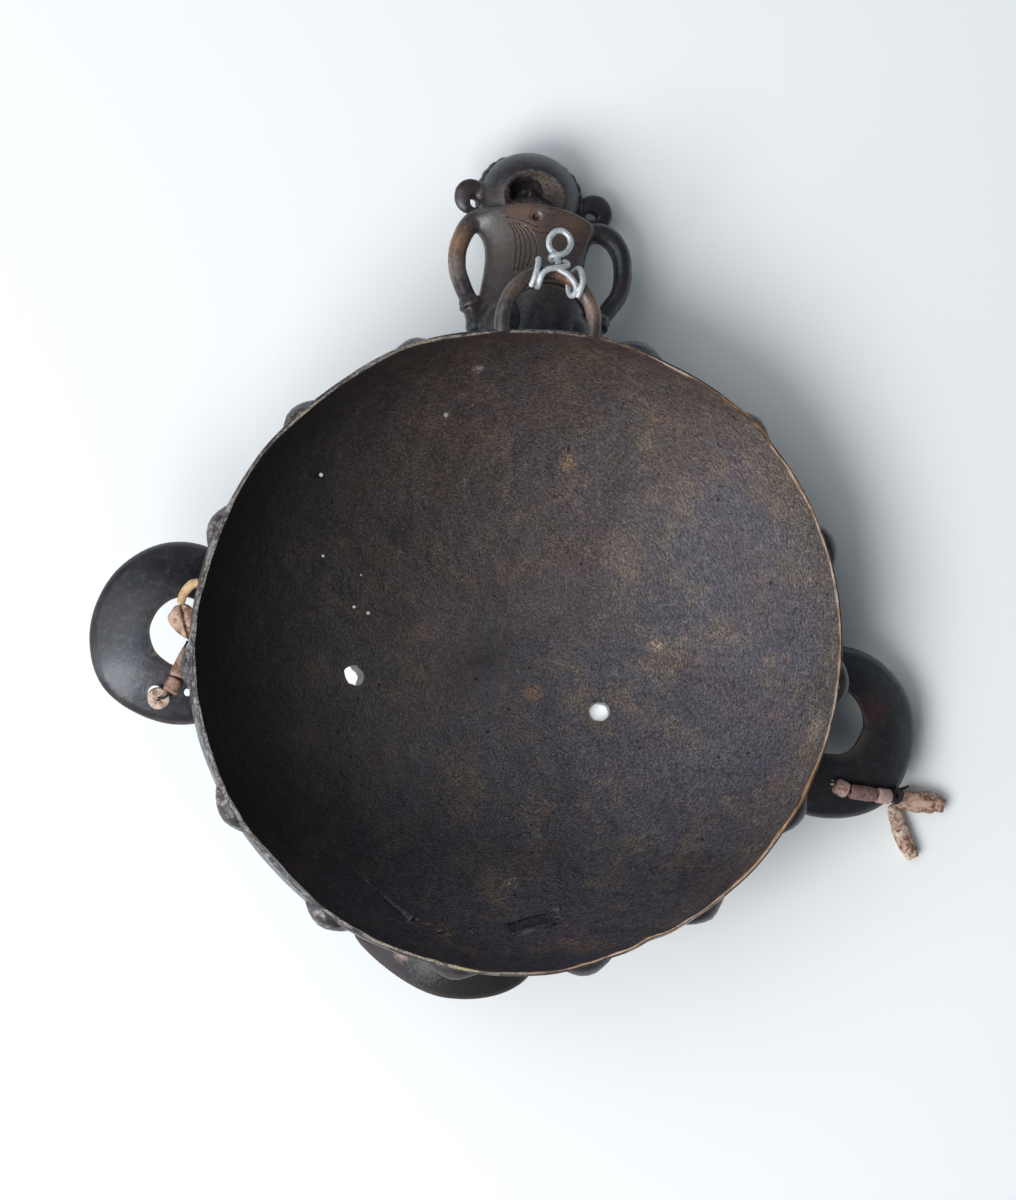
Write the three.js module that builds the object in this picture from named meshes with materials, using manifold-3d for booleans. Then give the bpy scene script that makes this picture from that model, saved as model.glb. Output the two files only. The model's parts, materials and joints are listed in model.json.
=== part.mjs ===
// A cast bronze face mask with a crest figure, lying on its face with its hollow up.
//
// Every piece is modelled in the mask's own frame, in millimetres: X to the right as seen from
// behind, Y up the face towards the crest figure, Z out of the hollow, with the rim in Z = 0.
// The last lines tip the mask into the pose in which it lies at rest, on its nose, its right
// brow and the crest figure's face, and put the floor at Z = 0.

import * as THREE from 'three';
import { mergeVertices } from 'three/addons/utils/BufferGeometryUtils.js';
import Module from 'manifold-3d';

const wasm = await Module();
wasm.setup();

// How the mask lies
const TIP_TO_CREST = -6;          // degrees about X: the crest end is the lower one
const TIP_TO_RIGHT = 12.5;        // degrees about Y: the right ear is the lower one
const RIM_HEIGHT = 95.4;          // height of the rim's centre over the floor
const RIM_CENTRE = [2.4, -35.7];   // where that centre stands, with the origin under the box's middle

// The bowl
const BOWL_CENTRE = [1.9, 2.3];
const RIM_LONG = 152.3;           // half the oval rim's longest width
const RIM_SHORT = 144.7;
const RIM_TURN = 29;              // degrees between X and the oval's long axis
const FACE_DEPTH = 85.2;
const FACE_WALL = 3.2;
const RIM_WALL = 2.2;
const BOWL_FULLNESS = 2.4;        // exponent of the section's super-ellipse
const BOWL_SIDES = 36;

// The bosses behind the rim
const BOSS_FIRST = -5.3;          // degrees from straight down, positive to the right
const BOSS_PITCH = 24.4;
const BOSS_RANGE = [-6, 7];
const BOSS_RADII = [11.5, 7, 6.5];
const BOSS_RING = [3.3, 2];       // centre of the ring of bosses: they stand out most on the right
const BOSS_INSET = 3.6;           // how far a boss's middle lies inside the rim's edge
const BOSS_DEPTH = 7.4;

// The ears
const EAR_CENTRE = { left: [-148.3, -11.2], right: [158.4, -10.5] };
const EAR_TOP = -24;
const EAR_RADIUS = 41;
const EAR_HOLE = { left: [-148.4, -11.3, 15.4], right: [155, -8.4, 16.8] };
const EAR_FLAT = 15;              // radius of the level middle, where the dish starts
const EAR_DROP = 8;               // how far the outer edge lies below the hole's edge
const EAR_THICKNESS = 3.4;
const EAR_PIERCING = { left: [-157, -39.7, 3.2], right: [162.8, -36.3, 2] };
const EAR_NOTCH = [-147.5, -39, 3.2];

// The face
const EYE_CENTRE = [60.5, -15.5];
const EYE_HOLE = 4.7;
const EYE_RADII = [25, 14, 5.5];
const NOSE_TIP = [0, -50, -104];
const MOUTH_TILT = 40;            // degrees between the mouth's axis and straight ahead
const MOUTH_SEAT = [1.4, -121.8, -54.9];
const MOUTH_RADII = [37, 33.4];
const MOUTH_REACH = 16;

// The crest figure
const SEAT = [-6, 146, -30];
const FIGURE_LEAN = 14.5;         // degrees that the back leans away from the hollow
const HEAD_CENTRE = [-11, 217, -55.6];
const HEAD_RADII = [24.4, 23, 19.5];
const ARM_RADIUS = 4.3;
const LEG_RADIUS = 6.5;

// The suspension ring and its wire
const RING_CENTRE = [-6.4, 150, -1];
const RING_RADII = [21.5, 24];
const RING_TUBE = 3.1;
const WIRE_RADIUS = 1.5;
const WIRE_GAP = 0.6;
const WIRE_EYE = [-5, 189.5, -5];
const WIRE_EYE_RADIUS = 4.7;

// The strings at the ears
const THREAD_RADIUS = 0.6;
const BEAD_BORE = 1.3;
const RING_BEAD_BORE = 2;

const BRONZE = new THREE.MeshStandardMaterial({ color: 0x2e2622, roughness: 0.5, metalness: 0.7 });
const GALVANISED = new THREE.MeshStandardMaterial({ color: 0xa9adaf, roughness: 0.45, metalness: 0.8 });
const CLAY = new THREE.MeshStandardMaterial({ color: 0xa98a78, roughness: 0.85, metalness: 0 });
const HIDE = new THREE.MeshStandardMaterial({ color: 0xb98e70, roughness: 0.8, metalness: 0 });
const THREAD = new THREE.MeshStandardMaterial({ color: 0x17161a, roughness: 0.95, metalness: 0 });

const radians = THREE.MathUtils.degToRad;
const vector = (point) => new THREE.Vector3(...point);

// Solids and meshes

function solidOf(geometry) {
  const loose = new THREE.BufferGeometry();
  loose.setAttribute('position', geometry.getAttribute('position').clone());
  if (geometry.index) loose.setIndex(geometry.index.clone());
  const welded = mergeVertices(loose, 1e-4);
  const corners = welded.getAttribute('position').array;
  const triangles = [];
  let volume = 0;
  for (let i = 0; i < welded.index.count; i += 3) {
    const [a, b, c] = [0, 1, 2].map((k) => welded.index.array[i + k]);
    if (a === b || b === c || c === a) continue;
    triangles.push(a, b, c);
    const [p, q, r] = [a, b, c].map((k) => new THREE.Vector3().fromArray(corners, 3 * k));
    volume += p.dot(q.cross(r));
  }
  if (volume < 0) triangles.reverse();
  return new wasm.Manifold(new wasm.Mesh({
    numProp: 3,
    vertProperties: new Float32Array(corners),
    triVerts: new Uint32Array(triangles),
  }));
}

function meshOf(name, solid, material) {
  const { vertProperties, triVerts } = solid.getMesh();
  const geometry = new THREE.BufferGeometry();
  geometry.setAttribute('position', new THREE.BufferAttribute(vertProperties, 3));
  geometry.setIndex(new THREE.BufferAttribute(triVerts, 1));
  geometry.computeVertexNormals();
  const mesh = new THREE.Mesh(geometry, material);
  mesh.name = name;
  return mesh;
}

const united = (solids) => solids.reduce((whole, next) => whole.add(next));

function ellipsoid(centre, radii, turn = new THREE.Matrix4(), sides = 8, rings = 5) {
  const geometry = new THREE.SphereGeometry(1, sides, rings).scale(...radii);
  return solidOf(geometry.applyMatrix4(turn).translate(...centre));
}

function tube(points, radius, sides, steps) {
  const section = new THREE.Shape();
  for (let i = 0; i < sides; i++) {
    const angle = (2 * Math.PI * i) / sides;
    const corner = [radius * Math.cos(angle), radius * Math.sin(angle)];
    if (i === 0) section.moveTo(...corner);
    else section.lineTo(...corner);
  }
  const extrudePath = new THREE.CatmullRomCurve3(points.map(vector), false, 'centripetal');
  return solidOf(new THREE.ExtrudeGeometry(section, { steps, extrudePath, bevelEnabled: false }));
}

// A ring of revolution about the line from one point to another, its profile given as
// [radius, share of the way along] pairs that close on themselves or on the axis.
function turned(from, to, profile, sides) {
  const axis = vector(to).sub(vector(from));
  const length = axis.length();
  const outline = profile.map(([radius, share]) => new THREE.Vector2(radius, share * length));
  const geometry = new THREE.LatheGeometry(outline, sides);
  const turn = new THREE.Quaternion().setFromUnitVectors(new THREE.Vector3(0, 1, 0), axis.normalize());
  return solidOf(geometry.applyQuaternion(turn).translate(...from));
}

function ringAcross(centre, along, radius, thickness) {
  const geometry = new THREE.TorusGeometry(radius, thickness, 4, 8);
  const axis = vector(along).normalize();
  const turn = new THREE.Quaternion().setFromUnitVectors(new THREE.Vector3(0, 0, 1), axis);
  return solidOf(geometry.applyQuaternion(turn).translate(...centre));
}

// The outside of the bowl

const ovalTurn = new THREE.Matrix4()
  .makeRotationZ(radians(RIM_TURN))
  .multiply(new THREE.Matrix4().makeScale(1, RIM_SHORT / RIM_LONG, 1))
  .multiply(new THREE.Matrix4().makeRotationZ(radians(-RIM_TURN)))
  .setPosition(...BOWL_CENTRE, 0);
const roundFromOval = ovalTurn.clone().invert();

function faceZ(x, y) {
  const out = new THREE.Vector3(x, y, 0).applyMatrix4(roundFromOval).length() / RIM_LONG;
  return -FACE_DEPTH * Math.max(0, 1 - out ** BOWL_FULLNESS) ** (1 / BOWL_FULLNESS);
}

function faceFrame(x, y) {
  const step = 0.5;
  const slopeX = (faceZ(x + step, y) - faceZ(x - step, y)) / (2 * step);
  const slopeY = (faceZ(x, y + step) - faceZ(x, y - step)) / (2 * step);
  const outward = new THREE.Vector3(slopeX, slopeY, -1).normalize();
  const across = new THREE.Vector3(0, 1, 0).cross(outward).normalize();
  const up = outward.clone().cross(across);
  return new THREE.Matrix4().makeBasis(across, up, outward).setPosition(x, y, faceZ(x, y));
}

function bowlProfile(radius, depth, steps) {
  return Array.from({ length: steps + 1 }, (_, i) => {
    const angle = (Math.PI / 2) * (i / steps);
    const power = 2 / BOWL_FULLNESS;
    return new THREE.Vector2(radius * Math.sin(angle) ** power, -depth * Math.cos(angle) ** power);
  });
}

function bowlSolid(radius, depth, steps, top) {
  const outline = bowlProfile(radius, depth, steps);
  outline[steps].y = 0;
  if (top > 0) outline.push(new THREE.Vector2(radius, top));
  outline.push(new THREE.Vector2(0, top));
  const geometry = new THREE.LatheGeometry(outline, BOWL_SIDES).rotateX(Math.PI / 2);
  return solidOf(geometry.applyMatrix4(ovalTurn));
}

const bowlOutside = () => bowlSolid(RIM_LONG, FACE_DEPTH, 8, 0);
const bowlHollow = () => bowlSolid(RIM_LONG - RIM_WALL, FACE_DEPTH - FACE_WALL, 8, 20);

// Lens-shaped bosses in a row behind the rim, with a wider gap under the crest figure
function rimBosses() {
  const bosses = [];
  for (let i = BOSS_RANGE[0]; i <= BOSS_RANGE[1]; i++) {
    const angle = radians(BOSS_FIRST + BOSS_PITCH * i);
    const outward = new THREE.Vector3(Math.sin(angle), -Math.cos(angle), 0);
    const oval = outward.clone().applyMatrix4(roundFromOval.clone().setPosition(0, 0, 0)).length();
    const centre = outward.multiplyScalar(RIM_LONG / oval - BOSS_INSET).toArray();
    const place = [centre[0] + BOSS_RING[0], centre[1] + BOSS_RING[1], -BOSS_DEPTH];
    bosses.push(ellipsoid(place, BOSS_RADII, new THREE.Matrix4().makeRotationZ(angle), 7, 4));
  }
  return bosses;
}

// The ears: dished discs with a round hole, highest in the middle

function earSurface(distance) {
  const share = Math.max(0, distance - EAR_FLAT) / (EAR_RADIUS - EAR_FLAT);
  return EAR_TOP - EAR_DROP * share ** 1.6;
}

function drillAt(x, y, radius, sides) {
  const outline = [[0, 0], [radius, 0], [radius, 1], [0, 1]];
  return turned([x, y, EAR_TOP - 26], [x, y, EAR_TOP + 14], outline, sides);
}

function ear(side) {
  const radii = [EAR_FLAT, (EAR_FLAT + EAR_RADIUS) / 2, EAR_RADIUS - 1];
  const back = radii.map((radius) => new THREE.Vector2(radius, earSurface(radius)));
  const front = back.map(({ x, y }) => new THREE.Vector2(x, y - EAR_THICKNESS)).reverse();
  const edge = new THREE.Vector2(EAR_RADIUS, earSurface(EAR_RADIUS) - EAR_THICKNESS / 2);
  const outline = [
    new THREE.Vector2(0, EAR_TOP), ...back, edge, ...front, new THREE.Vector2(0, EAR_TOP - EAR_THICKNESS),
  ];
  const geometry = new THREE.LatheGeometry(outline, 24).rotateX(Math.PI / 2);
  const [x, y, radius] = EAR_HOLE[side];
  const plate = solidOf(geometry.translate(...EAR_CENTRE[side], 0))
    .subtract(drillAt(x, y, radius, 18))
    .subtract(drillAt(...EAR_PIERCING[side], 7));
  return side === 'left' ? plate.subtract(drillAt(...EAR_NOTCH, 7)) : plate;
}

// The face: a calm, round face with almond eyes, a broad nose and an open mouth

function eye(sign) {
  const frame = faceFrame(sign * EYE_CENTRE[0], EYE_CENTRE[1]);
  const tilt = new THREE.Matrix4().makeRotationZ(radians(-4 * sign));
  const place = frame.multiply(tilt);
  const ball = new THREE.SphereGeometry(1, 12, 6).scale(...EYE_RADII).applyMatrix4(place);
  const lid = new THREE.TorusGeometry(1, 0.075, 3, 14).scale(EYE_RADII[0] + 1, EYE_RADII[1] + 1, 32);
  return solidOf(ball).add(solidOf(lid.applyMatrix4(place)));
}

function eyeHole(sign) {
  const drill = new THREE.CylinderGeometry(EYE_HOLE, EYE_HOLE, 60, 8).rotateX(Math.PI / 2);
  return solidOf(drill.applyMatrix4(faceFrame(sign * EYE_CENTRE[0], EYE_CENTRE[1])));
}

function onFace(x, y, lift) {
  const frame = faceFrame(x, y);
  const outward = new THREE.Vector3().setFromMatrixColumn(frame, 2);
  return new THREE.Vector3().setFromMatrixPosition(frame).addScaledVector(outward, lift).toArray();
}

function brow(sign) {
  const points = [[9, 4], [26, 17], [52, 22], [80, 12], [98, -8]];
  return tube(points.map(([x, y]) => onFace(sign * x, y, 0.3)), 2.8, 6, 7);
}

function headband() {
  const points = [];
  for (let angle = -72; angle <= 72; angle += 12) {
    points.push(onFace(112 * Math.sin(radians(angle)), 108 * Math.cos(radians(angle)), 0.5));
  }
  return tube(points, 3.4, 5, 12);
}

function nose() {
  const [x, y, z] = NOSE_TIP;
  const slope = new THREE.Matrix4().makeRotationX(radians(9));
  const bridge = ellipsoid([x, -18, faceZ(0, -18)], [8.5, 42, 11], slope);
  const tip = ellipsoid([x, y, z + 15], [14, 15, 16]);
  const wing = (sign) => ellipsoid([sign * 15, y - 5, z + 19], [10, 9, 11], undefined, 7, 4);
  return united([bridge, tip, wing(-1), wing(1)]);
}

function mouth() {
  const tilt = radians(MOUTH_TILT);
  const outward = new THREE.Vector3(0, -Math.sin(tilt), -Math.cos(tilt));
  const across = new THREE.Vector3(-1, 0, 0);
  const up = outward.clone().cross(across);
  const place = new THREE.Matrix4().makeBasis(across, up, outward).setPosition(...MOUTH_SEAT);
  const [wide, high] = MOUTH_RADII;
  const outline = [[0, -9], [26, -9], [28.5, 5], [wide, MOUTH_REACH], [wide - 1.2, MOUTH_REACH + 1.6],
    [26, 8], [18, 7], [17, -2], [0, -2]];
  const bell = new THREE.LatheGeometry(outline.map(([r, h]) => new THREE.Vector2(r, h)), 16);
  return solidOf(bell.rotateX(Math.PI / 2).scale(1, high / wide, 1).applyMatrix4(place));
}

// The crest figure, seated astride the forehead with its hands on its thighs

const figureFrame = new THREE.Matrix4()
  .makeRotationX(radians(-FIGURE_LEAN))
  .setPosition(...SEAT);

function torso() {
  const outline = [[0, -8], [26, -8], [29.5, 6], [27, 22], [24.7, 38], [26.7, 50], [31, 59], [34.5, 63.5],
    [33.5, 65], [0, 66]];
  const geometry = new THREE.LatheGeometry(outline.map(([r, h]) => new THREE.Vector2(r, h)), 16);
  return solidOf(geometry.scale(1, 1, 0.42).translate(-2, 0, 0).applyMatrix4(figureFrame));
}

function pelvis() {
  const outline = [[0, -9], [19.6, -9], [20, 16.8], [21, 18.4], [19.8, 19.8], [20.6, 21.4], [18.6, 23],
    [0, 23]];
  const geometry = new THREE.LatheGeometry(outline.map(([r, h]) => new THREE.Vector2(r, h)), 16);
  return solidOf(geometry.scale(1, 1, 0.84).translate(2.4, 0, 0).applyMatrix4(figureFrame));
}

function head() {
  const [x, y, z] = HEAD_CENTRE;
  const skull = ellipsoid(HEAD_CENTRE, HEAD_RADII, undefined, 12, 7);
  const cavity = ellipsoid([x - 1, y - 4.5, z + 17.5], [17.5, 14, 15], undefined, 10, 5);
  const neck = ellipsoid([x, y - 11, z + 4], [12, 10, 10], undefined, 7, 4);
  const snub = ellipsoid([x, y - 3, z - HEAD_RADII[2]], [4.5, 7, 3], undefined, 6, 4);
  const eyeball = (sign) => ellipsoid([x + sign * 10, y + 2, z - 16.6], [6, 3.4, 2.6], undefined, 6, 3);
  const loops = [[-39.8, 213.8, z + 1], [20.6, 216.9, z + 1]].map(figureEar);
  const lugs = [-1, 1].map((sign) => ellipsoid([x + sign * 23, y - 1, z], [5, 4.5, 4], undefined, 5, 3));
  return united([skull.subtract(cavity), neck, snub, eyeball(-1), eyeball(1), ...lugs, ...loops]);
}

function figureEar(centre) {
  const geometry = new THREE.TorusGeometry(4.9, 3.1, 4, 8).scale(1, 1.12, 0.8);
  return solidOf(geometry.translate(...centre));
}

function arm(points, bracelet) {
  const [at, next] = bracelet;
  const along = next.map((value, i) => value - at[i]);
  const hand = ellipsoid(points[points.length - 1], [6, 6.5, 5], undefined, 6, 4);
  return united([tube(points, ARM_RADIUS, 6, 8), ringAcross(at, along, 5, 2), hand]);
}

function arms() {
  const left = [[-28, 204, -47], [-35, 205, -47], [-40.8, 199, -46], [-44.2, 189, -43], [-44.4, 178, -40],
    [-41.4, 168, -36], [-36.8, 159, -33], [-33.6, 149, -30]];
  const right = [[17, 203, -47], [25, 204.5, -47], [31.5, 198, -46], [35, 187, -43], [34, 177, -40],
    [29.6, 169, -36], [24.2, 160, -33], [20, 149, -30]];
  return united([arm(left, left.slice(6)), arm(right, right.slice(6))]);
}

function legs() {
  const pieces = [];
  const footTilt = new THREE.Matrix4().makeRotationX(radians(-38));
  for (const sign of [-1, 1]) {
    const x = SEAT[0] + sign * 13;
    pieces.push(ellipsoid([x, 149, -34], [14.5, 16, 13]));
    const knee = SEAT[0] + sign * 21;
    const shin = [[x, 148, -40], [knee, 140, -50], [knee, 126, -56], [knee, 110, -66]];
    pieces.push(tube(shin, LEG_RADIUS, 6, 4));
    pieces.push(ellipsoid([knee, 106, -67], [8, 12, 6], footTilt, 6, 4));
  }
  return united(pieces);
}

// The suspension ring, cast on behind the crest figure's seat

function ringPoint(angle) {
  return new THREE.Vector3(
    RING_CENTRE[0] + RING_RADII[0] * Math.cos(angle),
    RING_CENTRE[1] + RING_RADII[1] * Math.sin(angle),
    RING_CENTRE[2],
  );
}

function suspensionRing() {
  const points = [];
  for (let degrees = -20; degrees <= 200; degrees += 20) points.push(ringPoint(radians(degrees)).toArray());
  return tube(points, RING_TUBE, 7, 14);
}

// Everything that was cast in one piece

function castingSolid() {
  const outside = united([
    bowlOutside(), ...rimBosses(), ear('left'), ear('right'),
    eye(-1), eye(1), brow(-1), brow(1), headband(), nose(), mouth(),
    torso(), pelvis(), head(), arms(), legs(), suspensionRing(),
  ]);
  const floor = new THREE.BoxGeometry(700, 700, 60).translate(0, 0, -RIM_HEIGHT - 30);
  return outside
    .subtract(bowlHollow())
    .subtract(eyeHole(-1))
    .subtract(eyeHole(1))
    .subtract(solidOf(floor.applyMatrix4(restTurn.clone().invert())));
}

// The wire: a twisted eye over the ring, and a wrap round the ring on either side

function wirePoint(ringDegrees, turnDegrees) {
  const angle = radians(ringDegrees);
  const turn = radians(turnDegrees);
  const [wide, high] = RING_RADII;
  const outward = new THREE.Vector3(high * Math.cos(angle), wide * Math.sin(angle), 0).normalize();
  const reach = RING_TUBE + WIRE_RADIUS + WIRE_GAP;
  return ringPoint(angle)
    .addScaledVector(outward, reach * Math.cos(turn))
    .add(new THREE.Vector3(0, 0, reach * Math.sin(turn)))
    .toArray();
}

function wireWrap(startDegrees, endDegrees, start) {
  const points = [start];
  for (let turn = 60; turn <= 500; turn += 40) {
    const share = (turn - 60) / 440;
    points.push(wirePoint(startDegrees + (endDegrees - startDegrees) * share, turn));
  }
  return tube(points, WIRE_RADIUS, 5, 14);
}

function hangingWire() {
  const [x, y, z] = WIRE_EYE;
  const eyeLoop = new THREE.TorusGeometry(WIRE_EYE_RADIUS, WIRE_RADIUS, 5, 12).translate(x, y, z);
  const neck = [x, y - WIRE_EYE_RADIUS - WIRE_RADIUS, z + 0.5];
  const fork = [x, 179.5, 1.5];
  return united([
    solidOf(eyeLoop),
    tube([[x, y - WIRE_EYE_RADIUS, z], neck, fork], 2.3, 6, 3),
    wireWrap(104, 120, fork),
    wireWrap(78, 60, fork),
  ]);
}

// Beads and pendants. A bead is a short pipe from one point to another.

function bead(from, to, startRadius, endRadius, bore = BEAD_BORE) {
  const rounded = 0.12;
  const outline = [[bore, 0], [startRadius * 0.86, 0], [startRadius, rounded], [endRadius, 1 - rounded],
    [endRadius * 0.86, 1], [bore, 1], [bore, 0]];
  return turned(from, to, outline, 8);
}

function pendant(points, radius, flatness) {
  const path = new THREE.CatmullRomCurve3(points.map(vector), false, 'centripetal');
  const from = path.getPoint(0).toArray();
  const middle = path.getPoint(0.5).toArray();
  const to = path.getPoint(1).toArray();
  const swell = (r) => [[0, 0], [r * 0.62, 0.03], [r, 0.3], [r, 0.72], [r * 0.7, 0.97], [0, 1]];
  const lobe = (a, b, r) => turned(a, b, swell(r), 8);
  const overlap = vector(to).sub(vector(from)).multiplyScalar(0.12).toArray();
  const past = middle.map((value, i) => value + overlap[i]);
  const before = middle.map((value, i) => value - overlap[i]);
  return lobe(from, past, radius).add(lobe(before, to, radius * flatness));
}

const leftThread = [[-157, -39.8, -34], [-156.8, -40, -32], [-156.6, -40.3, -30], [-155.9, -41.1, -27],
  [-155.6, -42.1, -24.2], [-154.6, -42.2, -21.6], [-153, -41.4, -20.2], [-151.2, -38.8, -20.1],
  [-150.2, -35.7, -20.1], [-149.3, -32.1, -20.4], [-149, -28.8, -20.2], [-148.6, -25.5, -19.9],
  [-148.2, -22.2, -19.6], [-147.9, -18.8, -19.4], [-148.2, -17.2, -19.4], [-148.8, -15.8, -19.6]];
const rightThread = [[162.8, -36.2, -34], [162.7, -36.2, -31.8], [162.6, -36.2, -29.6], [162.4, -36.1, -25.8],
  [163.5, -36.8, -23.4], [166.6, -38.2, -22.8], [169.6, -39.3, -23.4], [173, -39.5, -24.2],
  [175.8, -39.4, -24.8], [178.6, -39.3, -25.4], [184.4, -39.2, -26.6], [189, -39.1, -28.3],
  [193.6, -38.9, -30.8], [196.6, -38.7, -34.2], [198, -38.7, -38.4], [198.8, -38.8, -44.4]];

const leftFold = [[-151.2, -13.4, -20], [-152.5, -7, -19.8], [-152, 1, -19.6]];
const leftHook = [[-152.4, 2.8, -18.2], [-152.6, 6.4, -15], [-151.6, 9.2, -11], [-150.8, 10.6, -7]];
const rightStraight = [[203, -38.8, -50.2], [213.4, -37.8, -48.8], [225.4, -36.9, -47]];
const rightCurve = [[201.5, -42.6, -53.5], [205.9, -52.6, -53.7], [214.3, -64.2, -53.3]];

const smallPieces = [
  ['left_thread', tube(leftThread, THREAD_RADIUS, 8, 13), THREAD],
  ['left_ring_bead', bead([-155.3, -41.7, -27.2], [-155.6, -42.7, -24.4], 4.9, 4.9, RING_BEAD_BORE), CLAY],
  ['left_tube_bead', bead([-151.2, -38.7, -20.1], [-149.4, -32.9, -20.1], 3.5, 3.5), CLAY],
  ['left_cone_bead', bead([-149.3, -32.1, -20.4], [-147.9, -18.8, -19.4], 3.2, 1.9), CLAY],
  ['left_folded_pendant', pendant(leftFold, 5, 0.95), HIDE],
  ['left_curved_pendant', tube(leftHook, 1.5, 6, 5), HIDE],
  ['right_thread', tube(rightThread, THREAD_RADIUS, 8, 15), THREAD],
  ['right_ring_bead', bead([164.6, -37.3, -22.6], [168.8, -39.2, -23.3], 3.5, 3.5, RING_BEAD_BORE), CLAY],
  ['right_long_bead', bead([171.5, -39.5, -23.7], [184, -39.2, -26.5], 3.5, 3.5), CLAY],
  ['right_short_bead', bead([185.4, -39.2, -26.9], [191.8, -39, -29.5], 3.4, 3.4), CLAY],
  ['right_straight_pendant', pendant(rightStraight, 5, 1), HIDE],
  ['right_curved_pendant', pendant(rightCurve, 4, 0.96), HIDE],
];

// The pose at rest

const restTurn = new THREE.Matrix4().makeRotationFromEuler(
  new THREE.Euler(radians(TIP_TO_CREST), radians(TIP_TO_RIGHT), 0, 'XYZ'),
);

const mask = new THREE.Group();
mask.rotation.setFromRotationMatrix(restTurn);
mask.position.set(...RIM_CENTRE, RIM_HEIGHT);
mask.add(meshOf('mask_casting', castingSolid(), BRONZE));
mask.add(meshOf('hanging_wire', hangingWire(), GALVANISED));
for (const [name, solid, material] of smallPieces) mask.add(meshOf(name, solid, material));

export default mask;
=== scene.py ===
# A cast bronze face mask with a crest figure, lying on its face with its hollow up.
#
# Every piece is modelled in the mask's own frame, in millimetres: X to the right as seen from
# behind, Y up the face towards the crest figure, Z out of the hollow, with the rim in Z = 0.
# Its last step lays it on the floor in metres, where the CAD has it.

import json
import math

import bpy
from mathutils import Matrix, Vector, noise
from mathutils.bvhtree import BVHTree

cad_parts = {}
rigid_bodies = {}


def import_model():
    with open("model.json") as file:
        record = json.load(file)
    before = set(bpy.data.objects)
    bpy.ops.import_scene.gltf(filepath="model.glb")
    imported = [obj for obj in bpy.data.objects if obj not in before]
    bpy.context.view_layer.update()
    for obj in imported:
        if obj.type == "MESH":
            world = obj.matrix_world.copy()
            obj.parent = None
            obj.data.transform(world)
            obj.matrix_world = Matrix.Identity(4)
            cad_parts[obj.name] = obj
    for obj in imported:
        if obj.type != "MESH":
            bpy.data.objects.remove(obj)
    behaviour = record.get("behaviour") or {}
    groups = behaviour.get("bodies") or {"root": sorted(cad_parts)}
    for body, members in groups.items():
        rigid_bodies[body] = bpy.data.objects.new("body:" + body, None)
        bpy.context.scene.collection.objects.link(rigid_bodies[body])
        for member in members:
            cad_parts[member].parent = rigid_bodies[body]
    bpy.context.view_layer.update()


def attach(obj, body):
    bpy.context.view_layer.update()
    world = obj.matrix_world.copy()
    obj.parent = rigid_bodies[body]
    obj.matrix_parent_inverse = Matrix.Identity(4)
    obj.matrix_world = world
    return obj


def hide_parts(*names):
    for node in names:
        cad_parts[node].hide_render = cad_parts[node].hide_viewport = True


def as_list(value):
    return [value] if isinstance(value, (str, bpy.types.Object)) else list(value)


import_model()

# How the mask lies
TIP_TO_CREST = math.radians(-6)
TIP_TO_RIGHT = math.radians(12.5)
RIM_HEIGHT = 95.4
RIM_CENTRE = (2.4, -35.7)
MM = 0.001
REST = (
    Matrix.Translation(Vector((*RIM_CENTRE, RIM_HEIGHT)) * MM)
    @ Matrix.Rotation(TIP_TO_CREST, 4, "X")
    @ Matrix.Rotation(TIP_TO_RIGHT, 4, "Y")
)

# The bowl
BOWL_CENTRE = (1.9, 2.3)
RIM_LONG = 152.3
RIM_SHORT = 144.7
RIM_TURN = math.radians(29)
RIM_WALL = 2.2
FACE_DEPTH = 85.2
FACE_WALL = 3.2
HOLLOW_RADIUS = RIM_LONG - RIM_WALL
HOLLOW_DEPTH = FACE_DEPTH - FACE_WALL
FULLNESS = 2.4
BOWL_SIDES = 256
BOWL_RINGS = 40
HOLLOW_RINGS = 80

# The ears. Flank: where the edge bulges in degrees, its spread and how far.
EARS = {
    "left": {"centre": (-148.3, -11.2), "hole": (-148.4, -11.3, 15.4), "seed": 3, "flank": (-138, 20, 1.4)},
    "right": {"centre": (162.6, -12), "hole": (158.3, -7.8, 15.8), "seed": 4, "flank": (-38, 18, 1.2)},
}
EAR_TOP = -24
EAR_RADIUS = 41
EAR_FLAT = 15
EAR_DROP = 10.5
EAR_THICKNESS = 3.4
EAR_PIERCINGS = ((-157, -39.7, 3.2), (162.8, -36.3, 1.3), (-142.7, -37.6, 1.7))

# The crest figure
SEAT = (-6, 146, -30)
FIGURE_LEAN = math.radians(14.5)
HEAD_CENTRE = (-11, 217, -55.6)
HEAD_RADII = (24.4, 23, 19.5)
DISH = Vector(HEAD_CENTRE) + Vector((-1.6, -1.6, 19.5))
DISH_RADII = (17, 13.6, 7.5)
# The figure's ears: centre, radii, and the hole's centre and radii
EAR_DISCS = (
    ((-39.2, 214.2), (8.3, 8.7, 3.2), (-37.4, 212.3), (2.4, 3.4, 9)),
    ((20.8, 216.6), (9, 9.2, 3.2), (19, 214.6), (3.4, 1.9, 9)),
)

# The suspension ring and its wire
RING_CENTRE = (-6.4, 150, -1)
RING_RADII = (21.5, 24)
RING_TUBE = 3.1
WIRE_RADIUS = 1.4

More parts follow.
